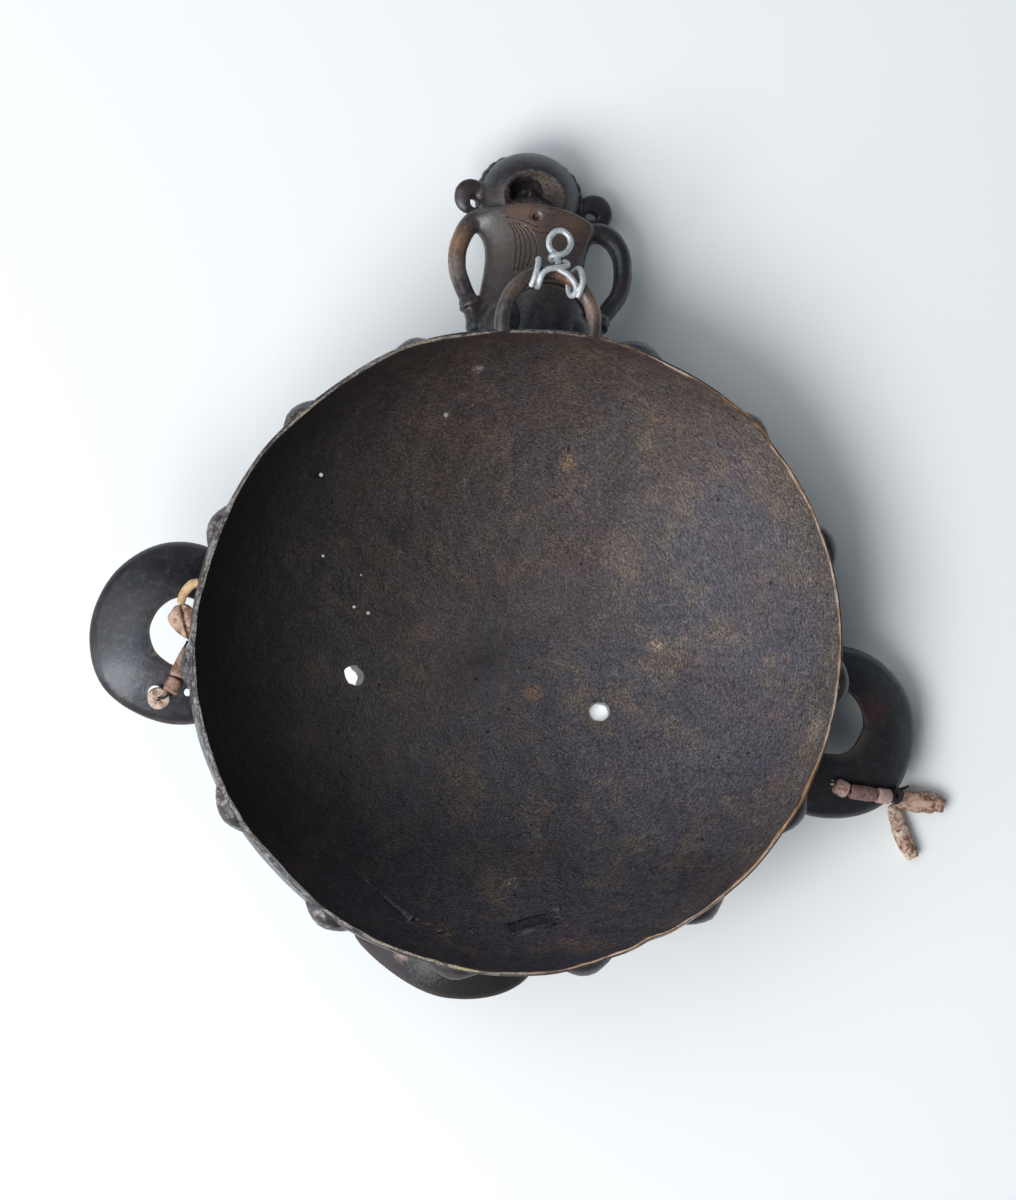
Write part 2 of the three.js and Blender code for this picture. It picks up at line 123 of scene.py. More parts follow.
# The strings at the ears
THREAD_RADIUS = 0.6
LEFT_THREAD = (
    (-157, -39.8, -34), (-156.8, -40, -32), (-156.6, -40.3, -30), (-155.9, -41.1, -27),
    (-155.6, -42.1, -24.2), (-154.6, -42.2, -21.6), (-153, -41.4, -20.2), (-151.2, -38.8, -20.1),
    (-150.2, -35.7, -20.1), (-149.3, -32.1, -20.4), (-149, -28.8, -20.2), (-148.6, -25.5, -19.9),
    (-148.2, -22.2, -19.6), (-147.9, -18.8, -19.4), (-147.4, -17.2, -19.4), (-146.8, -15.4, -19.6),
)
RIGHT_THREAD = (
    (162.8, -36.2, -34), (162.7, -36.2, -31.8), (162.6, -36.2, -29.6), (162.4, -36.1, -25.8),
    (163.5, -36.8, -23.4), (166.6, -38.2, -22.8), (169.6, -39.3, -23.4), (173, -39.5, -24.2),
    (175.8, -39.4, -24.8), (178.6, -39.3, -25.4), (184.4, -39.2, -26.6), (189, -39.1, -28.3),
    (193.6, -38.9, -30.8), (196.6, -38.7, -34.2), (198.6, -38.9, -41), (201.2, -39.8, -51),
)


# Modelling

def only(piece):
    bpy.ops.object.select_all(action="DESELECT")
    piece.select_set(True)
    bpy.context.view_layer.objects.active = piece
    return piece


def made(size=(1, 1, 1)):
    """The piece that was just added, with its size, place and turn put into its mesh."""
    piece = only(bpy.context.object)
    piece.scale = size
    bpy.ops.object.transform_apply(location=True, rotation=True, scale=True)
    return piece


def placed(piece, matrix):
    piece.data.transform(matrix)
    return piece


def modified(piece, kind, **settings):
    only(piece)
    modifier = piece.modifiers.new(kind, kind)
    for name, value in settings.items():
        setattr(modifier, name, value)
    bpy.ops.object.modifier_apply(modifier=modifier.name)
    return piece


def welded(piece, threshold=0.001):
    only(piece)
    bpy.ops.object.mode_set(mode="EDIT")
    bpy.ops.mesh.select_all(action="SELECT")
    bpy.ops.mesh.remove_doubles(threshold=threshold)
    bpy.ops.mesh.normals_make_consistent(inside=False)
    bpy.ops.object.mode_set(mode="OBJECT")
    return piece


def joined(pieces):
    bpy.ops.object.select_all(action="DESELECT")
    for piece in pieces:
        piece.select_set(True)
    bpy.context.view_layer.objects.active = pieces[0]
    bpy.ops.object.join()
    return pieces[0]


def fused(piece, *tools, operation="UNION"):
    for tool in tools:
        modified(piece, "BOOLEAN", object=tool, operation=operation, solver="MANIFOLD")
        bpy.data.objects.remove(tool)
    return piece


def pierced(piece, *tools):
    return fused(piece, *tools, operation="DIFFERENCE")


def ball(centre, radii, turn=(0, 0, 0), segments=24, rings=14):
    bpy.ops.mesh.primitive_uv_sphere_add(
        segments=segments, ring_count=rings, radius=1, location=centre, rotation=turn,
    )
    return made(radii)


def hoop(centre, radius, thickness, scale=(1, 1, 1), sides=32, section=12):
    bpy.ops.mesh.primitive_torus_add(
        major_radius=radius, minor_radius=thickness, major_segments=sides, minor_segments=section,
        location=centre,
    )
    return made(scale)


def peg(radius, depth, sides, centre=(0, 0, 0)):
    bpy.ops.mesh.primitive_cylinder_add(vertices=sides, radius=radius, depth=depth, location=centre)
    return made()


def block(size, turn=0, bevel=0.5):
    bpy.ops.mesh.primitive_cube_add(size=1, rotation=(0, 0, math.radians(turn)))
    return modified(made(size), "BEVEL", width=bevel, segments=3)


def spun(outline, steps):
    """A solid of revolution about Z, its outline given as (radius, height) points."""
    bpy.ops.mesh.primitive_plane_add(size=1)
    piece = bpy.context.object
    bpy.ops.object.mode_set(mode="EDIT")
    bpy.ops.mesh.select_all(action="SELECT")
    bpy.ops.mesh.merge(type="CENTER")
    bpy.ops.transform.translate(value=(outline[0][0], 0, outline[0][1]))
    for (r, h), (next_r, next_h) in zip(outline, outline[1:]):
        bpy.ops.mesh.extrude_region_move(TRANSFORM_OT_translate={"value": (next_r - r, 0, next_h - h)})
    bpy.ops.mesh.select_all(action="SELECT")
    bpy.ops.mesh.spin(steps=steps, angle=2 * math.pi, center=(0, 0, 0), axis=(0, 0, 1))
    bpy.ops.object.mode_set(mode="OBJECT")
    return welded(piece)


def line_of(name, kind, points, radius, section, steps=12):
    """A new round curve of that kind, and its knots, which are still to be set."""
    line = bpy.data.curves.new(name, "CURVE")
    line.dimensions = "3D"
    line.bevel_depth = radius
    line.bevel_resolution = section
    line.resolution_u = steps
    line.use_fill_caps = True
    spline = line.splines.new(kind)
    knots = spline.bezier_points if kind == "BEZIER" else spline.points
    knots.add(len(points) - 1)
    piece = bpy.data.objects.new(name, line)
    bpy.context.collection.objects.link(piece)
    return piece, knots


def rod(points, radii, section=4, steps=6):
    """A round bar through the points, with a radius at each."""
    piece, knots = line_of("rod", "BEZIER", points, 1, section, steps)
    if isinstance(radii, (int, float)):
        radii = [radii] * len(points)
    for knot, point, radius in zip(knots, points, radii):
        knot.co = point
        knot.radius = radius
        knot.handle_left_type = knot.handle_right_type = "AUTO"
    only(piece)
    bpy.ops.object.convert(target="MESH")
    return welded(bpy.context.object, 0.01)


def reshaped(piece, move):
    for corner in piece.data.vertices:
        corner.co = move(corner.co)
    return piece


def roughened(piece, size, depth, seed=0):
    """Moves the surface in and out by cloud noise of that size."""
    normals = [corner.normal.copy() for corner in piece.data.vertices]
    shift = Vector((seed * 17.3, seed * 5.1, seed * 9.7))
    for corner, normal in zip(piece.data.vertices, normals):
        corner.co += normal * depth * noise.noise(corner.co / size + shift)
    return piece


def remelted(piece, size, rounds):
    """Fuses overlapping closed forms into one skin, with soft joints as in wax."""
    modified(piece, "REMESH", mode="VOXEL", voxel_size=size)
    return modified(piece, "SMOOTH", factor=0.5, iterations=rounds)


def pointed(start, end):
    """The matrix that takes the Z axis from the origin to the line from start to end."""
    start, end = Vector(start), Vector(end)
    turn = Vector((0, 0, 1)).rotation_difference(end - start)
    return Matrix.Translation(start) @ turn.to_matrix().to_4x4()


def facing(place, outward):
    """The matrix whose axes run across, up and outwards at a place on the face."""
    across = Vector((0, 1, 0)).cross(outward).normalized()
    turn = Matrix((across, outward.cross(across), outward)).transposed().to_4x4()
    return Matrix.Translation(place) @ turn


def on_floor(piece, name, node, material=None, smooth=40):
    """Lays the finished piece on the floor, in metres, and puts it in place of its CAD node."""
    piece.name = piece.data.name = name
    if piece.type == "MESH":
        placed(piece, REST @ Matrix.Scale(MM, 4))
        only(piece)
        bpy.ops.object.shade_smooth_by_angle(angle=math.radians(smooth))
    if material:
        piece.data.materials.append(material)
    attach(piece, "root")
    if node:
        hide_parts(node)
    return piece


# Materials. A node goes into the tree of the sockets that are handed to it.

SOCKET = bpy.types.NodeSocket
VALUE = "NodeSocketFloat"
VECTOR = "NodeSocketVector"


def filled(node, inputs):
    """Links the sockets among the inputs to the node and sets the plain values."""
    for name, value in inputs.items():
        if isinstance(value, SOCKET):
            node.id_data.links.new(value, node.inputs[name])
        else:
            node.inputs[name].default_value = value
    return node


def part(kind, inputs, tree=None, **settings):
    tree = tree or next(value.id_data for value in inputs.values() if isinstance(value, SOCKET))
    node = tree.nodes.new(kind)
    for name, value in settings.items():
        setattr(node, name, value)
    return filled(node, inputs)


def cloud(place, scale, detail=4, rough=0.55, warp=0):
    return part("ShaderNodeTexNoise", {
        "Vector": place, "Scale": scale, "Detail": detail, "Roughness": rough, "Distortion": warp,
    }).outputs["Fac"]


def between(value, low, high, start=0, end=1):
    return part("ShaderNodeMapRange", {
        "Value": value, "From Min": low, "From Max": high, "To Min": start, "To Max": end,
    }).outputs["Result"]


def patches(place, scale, low, high, detail=4, rough=0.55, warp=0):
    return between(cloud(place, scale, detail, rough, warp), low, high)


def plus(a, b, operation="ADD"):
    return part("ShaderNodeMath", {0: a, 1: b}, operation=operation).outputs[0]


def times(a, b):
    return plus(a, b, "MULTIPLY")


def vector(operation, a, b=(0, 0, 0)):
    return part("ShaderNodeVectorMath", {0: a, 1: b}, operation=operation).outputs


def axes(place):
    return part("ShaderNodeSeparateXYZ", {0: place}).outputs


def pointiness(place):
    return part("ShaderNodeNewGeometry", {}, place.id_data).outputs["Pointiness"]


def bumps(height, distance, strength=1):
    facts = {"Height": height, "Distance": distance, "Strength": strength}
    return part("ShaderNodeBump", facts).outputs[0]


def blend_of(share, a, b, blend="MIX"):
    a, b = (value if isinstance(value, SOCKET) else (*value, 1) for value in (a, b))
    return part("ShaderNodeMix", {0: share, 6: a, 7: b}, data_type="RGBA", blend_type=blend).outputs[2]


def laid(colour, tint, mask, share=1):
    """The colour with a tint over it, as far as the mask and the share let it."""
    return blend_of(times(mask, share), colour, tint)


def shaded(colour, shade):
    grey = part("ShaderNodeCombineColor", {"Red": shade, "Green": shade, "Blue": shade}).outputs[0]
    return blend_of(1, colour, grey, "MULTIPLY")


def group_of(name, inputs, outputs):
    """A new node group: its input sockets and its output node."""
    tree = bpy.data.node_groups.new(name, "ShaderNodeTree")
    for label, kind in inputs:
        tree.interface.new_socket(label, in_out="INPUT", socket_type=kind)
    for label in outputs:
        tree.interface.new_socket(label, in_out="OUTPUT", socket_type=VALUE)
    return tree.nodes.new("NodeGroupInput").outputs, tree.nodes.new("NodeGroupOutput")


def spot_group():
    """A ragged spot round a point: 1 in its middle, 0 outside."""
    given, out = group_of(
        "ragged spot", [("Place", VECTOR), ("Centre", VECTOR), ("Reach", VALUE), ("Ragged", VALUE)], ["Mask"],
    )
    ruffle = plus(cloud(given["Place"], 0.8, 4, 0.65), -0.5)
    away = vector("DISTANCE", given["Place"], given["Centre"])["Value"]
    torn = times(times(ruffle, 2.2), given["Ragged"])
    mask = between(plus(plus(away, given["Reach"], "DIVIDE"), torn), 1, 0.1)
    return filled(out, {"Mask": mask}).id_data


def round_place(place, length, fineness):
    """Coordinates that run round the bowl and across it, for strokes and streaks along the rim."""
    flat = vector("MULTIPLY", place, (1, 1, 0))[0]
    way = axes(vector("NORMALIZE", flat)[0])
    reach = plus(vector("LENGTH", flat)["Value"], axes(place)["Z"])
    return part("ShaderNodeCombineXYZ", {
        "X": times(way["X"], length), "Y": times(way["Y"], length), "Z": times(reach, fineness),
    }).outputs[0]


def grain_group():
    """Cast metal's rough skin: fine strokes round the bowl, crumbs, light flecks that paint glints, and pits.
    """
    given, out = group_of(
        "cast grain", [("Place", VECTOR), ("Length", VALUE), ("Fineness", VALUE)],
        ["Height", "Stroke", "Crumb", "Glint", "Pit"],
    )
    place = given["Place"]
    stroke = cloud(round_place(place, given["Length"], given["Fineness"]), 1, 2, 0.55, 0.9)
    crumb = cloud(place, 1, 3, 0.6)
    lump = cloud(place, 0.16, 3, 0.5)
    shake = part("ShaderNodeTexNoise", {"Vector": place, "Scale": 0.7}).outputs["Color"]
    cell = part("ShaderNodeTexVoronoi", {"Vector": vector("ADD", place, shake)[0], "Scale": 0.11}).outputs
    chance = part("ShaderNodeSeparateColor", {0: cell["Color"]}).outputs["Red"]
    pits = times(between(cell["Distance"], 0.1, 0.05), between(chance, 0.62, 0.66))
    waves = plus(plus(stroke, times(crumb, 0.6)), times(lump, 1.8))
    return filled(out, {
        "Height": plus(waves, times(pits, -1.2)), "Stroke": stroke, "Crumb": crumb,
        "Glint": patches(place, 0.75, 0.66, 0.74, 3, 0.75), "Pit": pits,
    }).id_data


RAGGED_SPOT = spot_group()
CAST_GRAIN = grain_group()


def material_of(name):
    """A material, its shader, and the place on it in the mask's own frame, in millimetres."""
    material = bpy.data.materials.new(name)
    material.use_nodes = True
    tree = material.node_tree
    turned = part("ShaderNodeMapping", {
        "Vector": part("ShaderNodeTexCoord", {}, tree).outputs["Object"],
        "Location": REST.to_translation(), "Rotation": REST.to_euler("XYZ"), "Scale": (MM, MM, MM),
    }, vector_type="TEXTURE")
    return material, tree.nodes["Principled BSDF"], turned.outputs[0]


def spot(place, centre, reach, ragged):
    return part("ShaderNodeGroup", {
        "Place": place, "Centre": centre, "Reach": reach, "Ragged": ragged,
    }, node_tree=RAGGED_SPOT).outputs["Mask"]


def spotted(colour, place, spots, through=1):
    """Lays the spots over a colour, where the last mask lets them through."""
    for centre, reach, ragged, share, tint in spots:
        colour = laid(colour, tint, times(spot(place, centre, reach, ragged), through), share)
    return colour


# Patches of the hollow: colour, share, and the cloud's scale, two limits, detail, roughness and warp
HOLLOW_PATCHES = (
    ((0.037, 0.039, 0.047), 0.55, (0.026, 0.52, 0.68, 5, 0.6, 0.3)),
    ((0.047, 0.029, 0.037), 0.5, (0.03, 0.5, 0.66, 5, 0.62, 0.4)),
    ((0.1, 0.069, 0.045), 0.65, (0.045, 0.5, 0.68, 6, 0.7)),
    ((0.014, 0.013, 0.018), 0.5, (0.036, 0.55, 0.7, 5, 0.65)),
)
# Spots of rust, wear and crust, and painted shade in the slot: centre, reach, how ragged, share and colour
HOLLOW_SPOTS_AND_SLOT_SHADE = (
    ((27.4, -10.9, -81.5), 7, 0.8, 0.35, (0.16, 0.09, 0.06)),
    ((60, 62, -74), 12, 0.9, 0.3, (0.13, 0.1, 0.075)),
    ((82.7, 19.8, -73.3), 6, 0.9, 0.4, (0.2, 0.13, 0.08)),
    ((26.4, 99, -66.5), 7, 0.9, 0.3, (0.15, 0.09, 0.055)),
    ((-28.3, 131.5, -39), 3.4, 1.2, 0.8, (0.3, 0.22, 0.17)),
    # The last three are painted shade in the slot.
    ((24.9, -122.6, -46), 6, 0.5, 0.95, (0.008, 0.008, 0.01)),
    ((31.9, -119.8, -47.5), 6, 0.5, 0.95, (0.008, 0.008, 0.01)),
    ((38.5, -116.8, -50.5), 5.5, 0.5, 0.9, (0.008, 0.008, 0.01)),
)
HOLLOW_SPECKS = (
    ((27.4, -10.9, -81.5), 5, 0.8, 1, (0.4, 0.17, 0.07)),
    ((13, -9.5, -82), 5, 0.8, 0.8, (0.26, 0.12, 0.06)),
    ((-34.8, 108.3, -58.5), 3.4, 0.8, 1, (0.46, 0.25, 0.11)),
    ((26.4, 99, -66.5), 5.6, 0.8, 1, (0.46, 0.22, 0.08)),
    ((82.7, 19.8, -73.3), 4, 0.8, 1, (0.85, 0.66, 0.36)),
    ((150.2, -12.8, -14), 11, 0.8, 1, (0.52, 0.5, 0.46)),
    ((147, -38, -14), 10, 0.8, 1, (0.42, 0.39, 0.34)),
    ((24.5, -101.4, -62.3), 4, 0.8, 1, (0.4, 0.37, 0.35)),
)
# A painted highlight along the slot's bright lower lip: the middle of its line, its turn, how long it is
# drawn, and its spot
SLOT_LIP = (33.75, -121.6, -44.6)
SLOT_LIP_TURN = (0, math.radians(14.1), math.radians(26.9))
SLOT_LIP_STRETCH = (8, 1, 1)
SLOT_LIP_HIGHLIGHT = (((0, 0, 0), 1.4, 0.4, 0.9, (0.36, 0.36, 0.39)),)


def hollow_bronze():
    """The rough inside: red-brown above, grey with painted light on the right and far below, and nearly black
    with painted shade on the left.
    """
    material, shader, place = material_of("rough bronze of the hollow")
    facts = {"Place": place, "Length": 46, "Fineness": 1.6}
    grain = part("ShaderNodeGroup", facts, node_tree=CAST_GRAIN).outputs
    spread = axes(place)
    slope = plus(times(spread["Y"], 0.7), times(spread["X"], -0.55))
    drift = times(cloud(place, 0.018, 4, 0.6, 0.5), 320)
    warm = times(between(plus(slope, drift), 120, 240), between(spread["X"], -120, -60, 0.1, 1))
    colour = blend_of(warm, (0.035, 0.033, 0.042), (0.052, 0.036, 0.032))
    for tint, share, noise_facts in HOLLOW_PATCHES:
        colour = laid(colour, tint, patches(place, *noise_facts), share)
    dust = times(between(spread["Z"], -38, -8), between(spread["X"], 50, 110))
    colour = laid(colour, (0.12, 0.1, 0.075), times(dust, between(grain["Crumb"], 0.4, 0.6)), 0.6)
    colour = spotted(colour, place, HOLLOW_SPOTS_AND_SLOT_SHADE)
    # Painted shade and light: darker towards the left and from Y -45 down, lighter towards the right and
    # towards the lowest part; then the cast grain's strokes and crumbs.
    for value, *limits in (
        (spread["X"], -110, 100, 0.48, 1.75), (spread["Y"], -45, -85, 1, 0.72),
        (spread["Y"], -92, -125, 1, 2.3), (grain["Stroke"], 0.34, 0.66, 0.4, 1.7),
        (grain["Crumb"], 0.34, 0.62, 0.4, 1.4),
    ):
        colour = shaded(colour, between(value, *limits))
    # Painted glints: light flecks over the grain.
    colour = laid(colour, (0.3, 0.275, 0.26), grain["Glint"], 0.75)
    colour = spotted(colour, place, HOLLOW_SPECKS, patches(place, 1.1, 0.55, 0.62, 2, 0.6))
    # Painted highlight along the slot's lower lip, drawn out along its line.
    along_lip = part("ShaderNodeMapping", {
        "Vector": place, "Location": SLOT_LIP, "Rotation": SLOT_LIP_TURN, "Scale": SLOT_LIP_STRETCH,
    }, vector_type="TEXTURE").outputs[0]
    colour = spotted(colour, along_lip, SLOT_LIP_HIGHLIGHT)
    edge = pointiness(place)
    colour = laid(colour, (0.2, 0.19, 0.2), between(edge, 0.53, 0.59), 0.7)
    # Painted shade: darker where the surface is hollow, in creases and dents.
    colour = laid(colour, (0.008, 0.008, 0.01), between(edge, 0.46, 0.4), 0.8)
    colour = laid(colour, (0.008, 0.008, 0.009), grain["Pit"])
    filled(shader, {
        "Base Color": colour, "Roughness": between(grain["Stroke"], 0.3, 0.7, 0.58, 0.4), "Metallic": 0.15,
        "Specular IOR Level": 0.65, "Normal": bumps(grain["Height"], 0.0005),
    })
    return material


# Spots on the skin: centre, reach, how ragged, share and colour.
SKIN_SPOTS_AND_ARM_HIGHLIGHT = (
    ((-10, 190, -38), 40, 0.5, 0.95, (0.115, 0.088, 0.074)),
    ((-16, 206.5, -34), 13, 0.9, 0.6, (0.22, 0.12, 0.075)),
    ((7, 206.5, -34), 14, 0.9, 0.55, (0.2, 0.11, 0.07)),
    ((-11.5, 214, -38), 11, 0.7, 0.7, (0.12, 0.075, 0.055)),
    ((-8.9, 208.4, -33), 4.6, 1.4, 0.8, (0.12, 0.115, 0.105)),
    ((-46.5, 188, -38), 12, 0.7, 0.75, (0.3, 0.165, 0.09)),
    # A painted highlight below the rubbed patch on the left arm.
    ((-45, 175, -38), 9, 0.7, 0.7, (0.3, 0.24, 0.2)),
    ((-1.5, 172.3, 1.5), 7, 1.4, 0.75, (0.3, 0.15, 0.09)),
    ((4, 170, 1.5), 6, 1.4, 0.6, (0.24, 0.13, 0.085)),
    ((13, 161, 1.5), 10, 0.9, 0.85, (0.26, 0.165, 0.125)),
    ((-24, 163, 1.5), 9, 1.4, 0.5, (0.17, 0.1, 0.075)),
    ((-4, -148, -50), 62, 0.3, 0.9, (0.016, 0.013, 0.012)),
    ((-38, -141, -53), 20, 0.9, 0.8, (0.036, 0.018, 0.015)),
    ((-13.5, -144.2, -47), 10.5, 1.3, 0.75, (0.13, 0.126, 0.126)),
    ((-6, -147, -8), 16, 0.6, 0.7, (0.022, 0.02, 0.02)),
    ((-25.5, -140.5, -50), 4.8, 0.6, 0.95, (0.42, 0.27, 0.24)),
    ((178, 1, -27), 10, 1.2, 0.4, (0.1, 0.03, 0.02)),
    ((152, -40, -28), 11, 1.2, 0.35, (0.09, 0.032, 0.022)),
)
DULL_CHIN = ((-4, -148, -50), 66, 0.2)


def skin_bronze():
    """The outside: black, satin, rubbed brown on what stands out, dusty behind the left rim, with painted
    shade towards the right ear and in creases.
    """
    material, shader, place = material_of("dark bronze skin")
    spread = axes(place)
    mottle = cloud(place, 0.05, 6, 0.65)
    dust = patches(place, 0.3, 0.5, 0.64, 6, 0.72)
    wear = times(patches(place, 0.035, 0.52, 0.66, 5, 0.6, 0.5), between(spread["X"], 70, 150, 0.5, 0.16))
    left_rim = times(between(spread["X"], -20, -70), between(spread["Z"], -19, -14))
    colour = blend_of(between(mottle, 0.35, 0.65), (0.013, 0.013, 0.018), (0.032, 0.027, 0.03))
    colour = laid(colour, (0.075, 0.042, 0.03), wear)
    colour = laid(colour, (0.13, 0.125, 0.13), dust, 0.24)
    # Painted shade: darker towards the right ear.
    colour = shaded(colour, between(spread["X"], 90, 150, 1, 0.5))
    colour = laid(colour, (0.3, 0.27, 0.245), times(left_rim, dust), 0.9)
    colour = spotted(colour, place, SKIN_SPOTS_AND_ARM_HIGHLIGHT)
    edge = pointiness(place)
    colour = laid(colour, (0.2, 0.14, 0.1), between(edge, 0.52, 0.6), 0.55)
    # Painted shade: darker where the surface is hollow.
    colour = laid(colour, (0.01, 0.009, 0.01), between(edge, 0.47, 0.42), 0.7)
    rough = plus(between(mottle, 0.3, 0.7, 0.29, 0.43), times(spot(place, *DULL_CHIN), 0.4))
    height = plus(times(mottle, 2.2), times(cloud(place, 0.9, 4, 0.6), 0.3))
    filled(shader, {
        "Base Color": colour, "Roughness": rough, "Metallic": 0.2, "Specular IOR Level": 0.7,
        "Specular Tint": (0.82, 0.91, 1, 1), "Normal": bumps(height, 0.0004, 0.6),
    })
    return material


RIM_SPOTS = (
    ((-64.3, 132.7, 0), 14, 1.2, 0.7, (0.6, 0.5, 0.3)),
    ((-111.5, 91.9, 0), 12, 1.2, 0.6, (0.55, 0.45, 0.28)),
    ((-43.8, -137.3, 0), 12, 1.4, 0.7, (0.62, 0.54, 0.36)),
    ((-24.9, -142.1, 0), 12, 1.4, 0.6, (0.62, 0.52, 0.33)),
    ((-6.2, -144.6, 0), 10, 1.4, 0.85, (0.68, 0.58, 0.34)),
    ((-18.5, 146.5, 0), 5, 1.4, 0.8, (0.45, 0.36, 0.32)),
)


def rim_bronze():
    """The rim's top: mottled grey on the left, dark on the right with gold edges, lightened as a painted
    highlight.
    """
    material, shader, place = material_of("worn bronze rim")
    gold = between(plus(axes(place)["X"], times(cloud(place, 0.02), 90)), 30, 110)
    streak = cloud(round_place(place, 22, 0.8), 1, 5, 0.7)
    speck = cloud(place, 0.9, 5, 0.75)
    edge = times(between(pointiness(place), 0.5, 0.55), between(streak, 0.3, 0.55))
    grey = blend_of(between(plus(streak, speck), 0.92, 1.1), (0.05, 0.044, 0.04), (0.33, 0.305, 0.28))
    # Bare brass on the right rim's edges, lightened towards pink-white as a painted highlight.
    brass_and_highlight = blend_of(patches(place, 0.025, 0.42, 0.58), (0.52, 0.3, 0.15), (0.66, 0.5, 0.4))
    colour = blend_of(gold, grey, blend_of(edge, (0.05, 0.03, 0.02), brass_and_highlight))
    colour = spotted(colour, place, RIM_SPOTS, between(speck, 0.4, 0.55, 0.25, 1))
    filled(shader, {"Base Color": colour, "Roughness": 0.45, "Metallic": 0.3, "Normal": bumps(speck, 0.0004)})
    return material


def galvanised():
    material, shader, place = material_of("galvanised wire")
    spangle = cloud(place, 0.9, 4, 0.6)
    colour = blend_of(between(spangle, 0.35, 0.65), (0.42, 0.45, 0.47), (0.6, 0.64, 0.67))
    filled(shader, {
        "Base Color": colour, "Roughness": between(spangle, 0.3, 0.7, 0.42, 0.56), "Metallic": 0.4,
        "Normal": bumps(spangle, 0.0001),
    })
    return material


def stained(name, pale, tan, stain_and_shade, share, size=1):
    """A dry, stained surface of three colours, for clay and pod."""
    material, shader, place = material_of(name)
    broad = cloud(place, 0.16 / size, 5, 0.65, 0.6)
    fine = cloud(place, 0.55 / size, 6, 0.75, 0.8)
    blot = between(plus(fine, times(broad, 0.6)), share, share + 0.1)
    colour = blend_of(between(plus(broad, fine), 0.86, 1.12), pale, tan)
    colour = laid(colour, stain_and_shade, blot, 0.85)
    # Painted shade: the stain colour also darkens the creases.
    colour = laid(colour, stain_and_shade, between(pointiness(place), 0.48, 0.42), 0.7)
    filled(shader, {"Base Color": colour, "Roughness": 0.75, "Normal": bumps(fine, 0.0006)})
    return material


def thread_black():
    material, shader, place = material_of("black thread")
    ply = part("ShaderNodeTexWave", {
        "Vector": place, "Scale": 0.5, "Distortion": 2,
    }, bands_direction="DIAGONAL").outputs["Fac"]
    colour = blend_of(ply, (0.008, 0.008, 0.01), (0.03, 0.03, 0.034))
    filled(shader, {"Base Color": colour, "Roughness": 0.9, "Normal": bumps(ply, 0.0003)})
    return material


def paper_floor():
    material, shader, _ = material_of("pale studio paper")
    filled(shader, {"Base Color": (0.83, 0.86, 0.875, 1), "Roughness": 0.9})
    return material


HOLLOW = hollow_bronze()
SKIN = skin_bronze()
RIM = rim_bronze()
WIRE = galvanised()
PALE_CLAY = stained("pale stained clay", (0.62, 0.5, 0.42), (0.42, 0.27, 0.2), (0.1, 0.05, 0.04), 0.81)
BROWN_CLAY = stained("brown clay", (0.38, 0.25, 0.19), (0.22, 0.12, 0.085), (0.075, 0.038, 0.03), 0.82)
DARK_CLAY = stained("dark red clay", (0.16, 0.065, 0.06), (0.36, 0.23, 0.2), (0.05, 0.022, 0.022), 0.79)
PINK_CLAY = stained("pink-grey clay", (0.5, 0.35, 0.3), (0.36, 0.22, 0.19), (0.1, 0.05, 0.042), 0.82)
PINK_POD = stained("pink dried pod", (0.52, 0.36, 0.28), (0.33, 0.17, 0.11), (0.085, 0.04, 0.032), 0.79, 1.4)
PALE_POD = stained("pale dried pod", (0.68, 0.57, 0.46), (0.38, 0.19, 0.12), (0.08, 0.038, 0.03), 0.8, 1.4)
YELLOW_POD = stained("yellow dried pod", (0.6, 0.45, 0.25), (0.48, 0.32, 0.17), (0.25, 0.13, 0.06), 0.92, 1.2)
THREAD = thread_black()


# The camera and the light

FOCAL = 100
CAMERA_BACK = 1500
CAMERA_TURN = math.radians(7.41)
CAMERA_SHIFT = (-8.374, 22.509)
CAMERA_PLACE = Vector((
    RIM_CENTRE[0] + CAMERA_SHIFT[0], RIM_CENTRE[1] + CAMERA_SHIFT[1], RIM_HEIGHT + CAMERA_BACK,
)) * MM
EYE_POINT = REST.inverted() @ CAMERA_PLACE / MM

# Round lamps: direction, distance, width, power and colour. All aim at the mask.
LAMPS = {
    "key": ((-0.48, -0.6, 1), 2.2, 1.5, 44, (1, 0.99, 0.98)),
    "fill": ((-0.6, 0.25, 1), 2.4, 2.4, 22, (0.94, 0.97, 1)),
    "low window": ((-1, -0.42, 0.46), 2.4, 1.1, 10, (0.85, 0.93, 1)),
}
# Small lamps that light the floor below the eye holes: place, width and power. They aim down.
FLOOR_LAMPS = {
    "under the left eye": ((-0.075, -0.059, 0.026), 0.03, 0.01),
    "under the right eye": ((0.0439, -0.0607, 0.003), 0.008, 0.0002),
}


def photo_camera():
    bpy.ops.object.camera_add(location=CAMERA_PLACE, rotation=(0, 0, CAMERA_TURN))
    camera = bpy.context.object
    camera.data.lens = FOCAL
    camera.data.sensor_width = 36
    camera.data.clip_start = 0.05
    bpy.context.scene.camera = camera


def lamp(name, place, aim, size, power, colour=(1, 1, 1)):
    bpy.ops.object.light_add(type="AREA", location=place)
    light = bpy.context.object
    light.name = name
    light.rotation_euler = aim.to_track_quat("-Z", "Y").to_euler()
    light.data.shape = "DISK"
    light.data.size = size
    light.data.energy = power
    light.data.color = colour


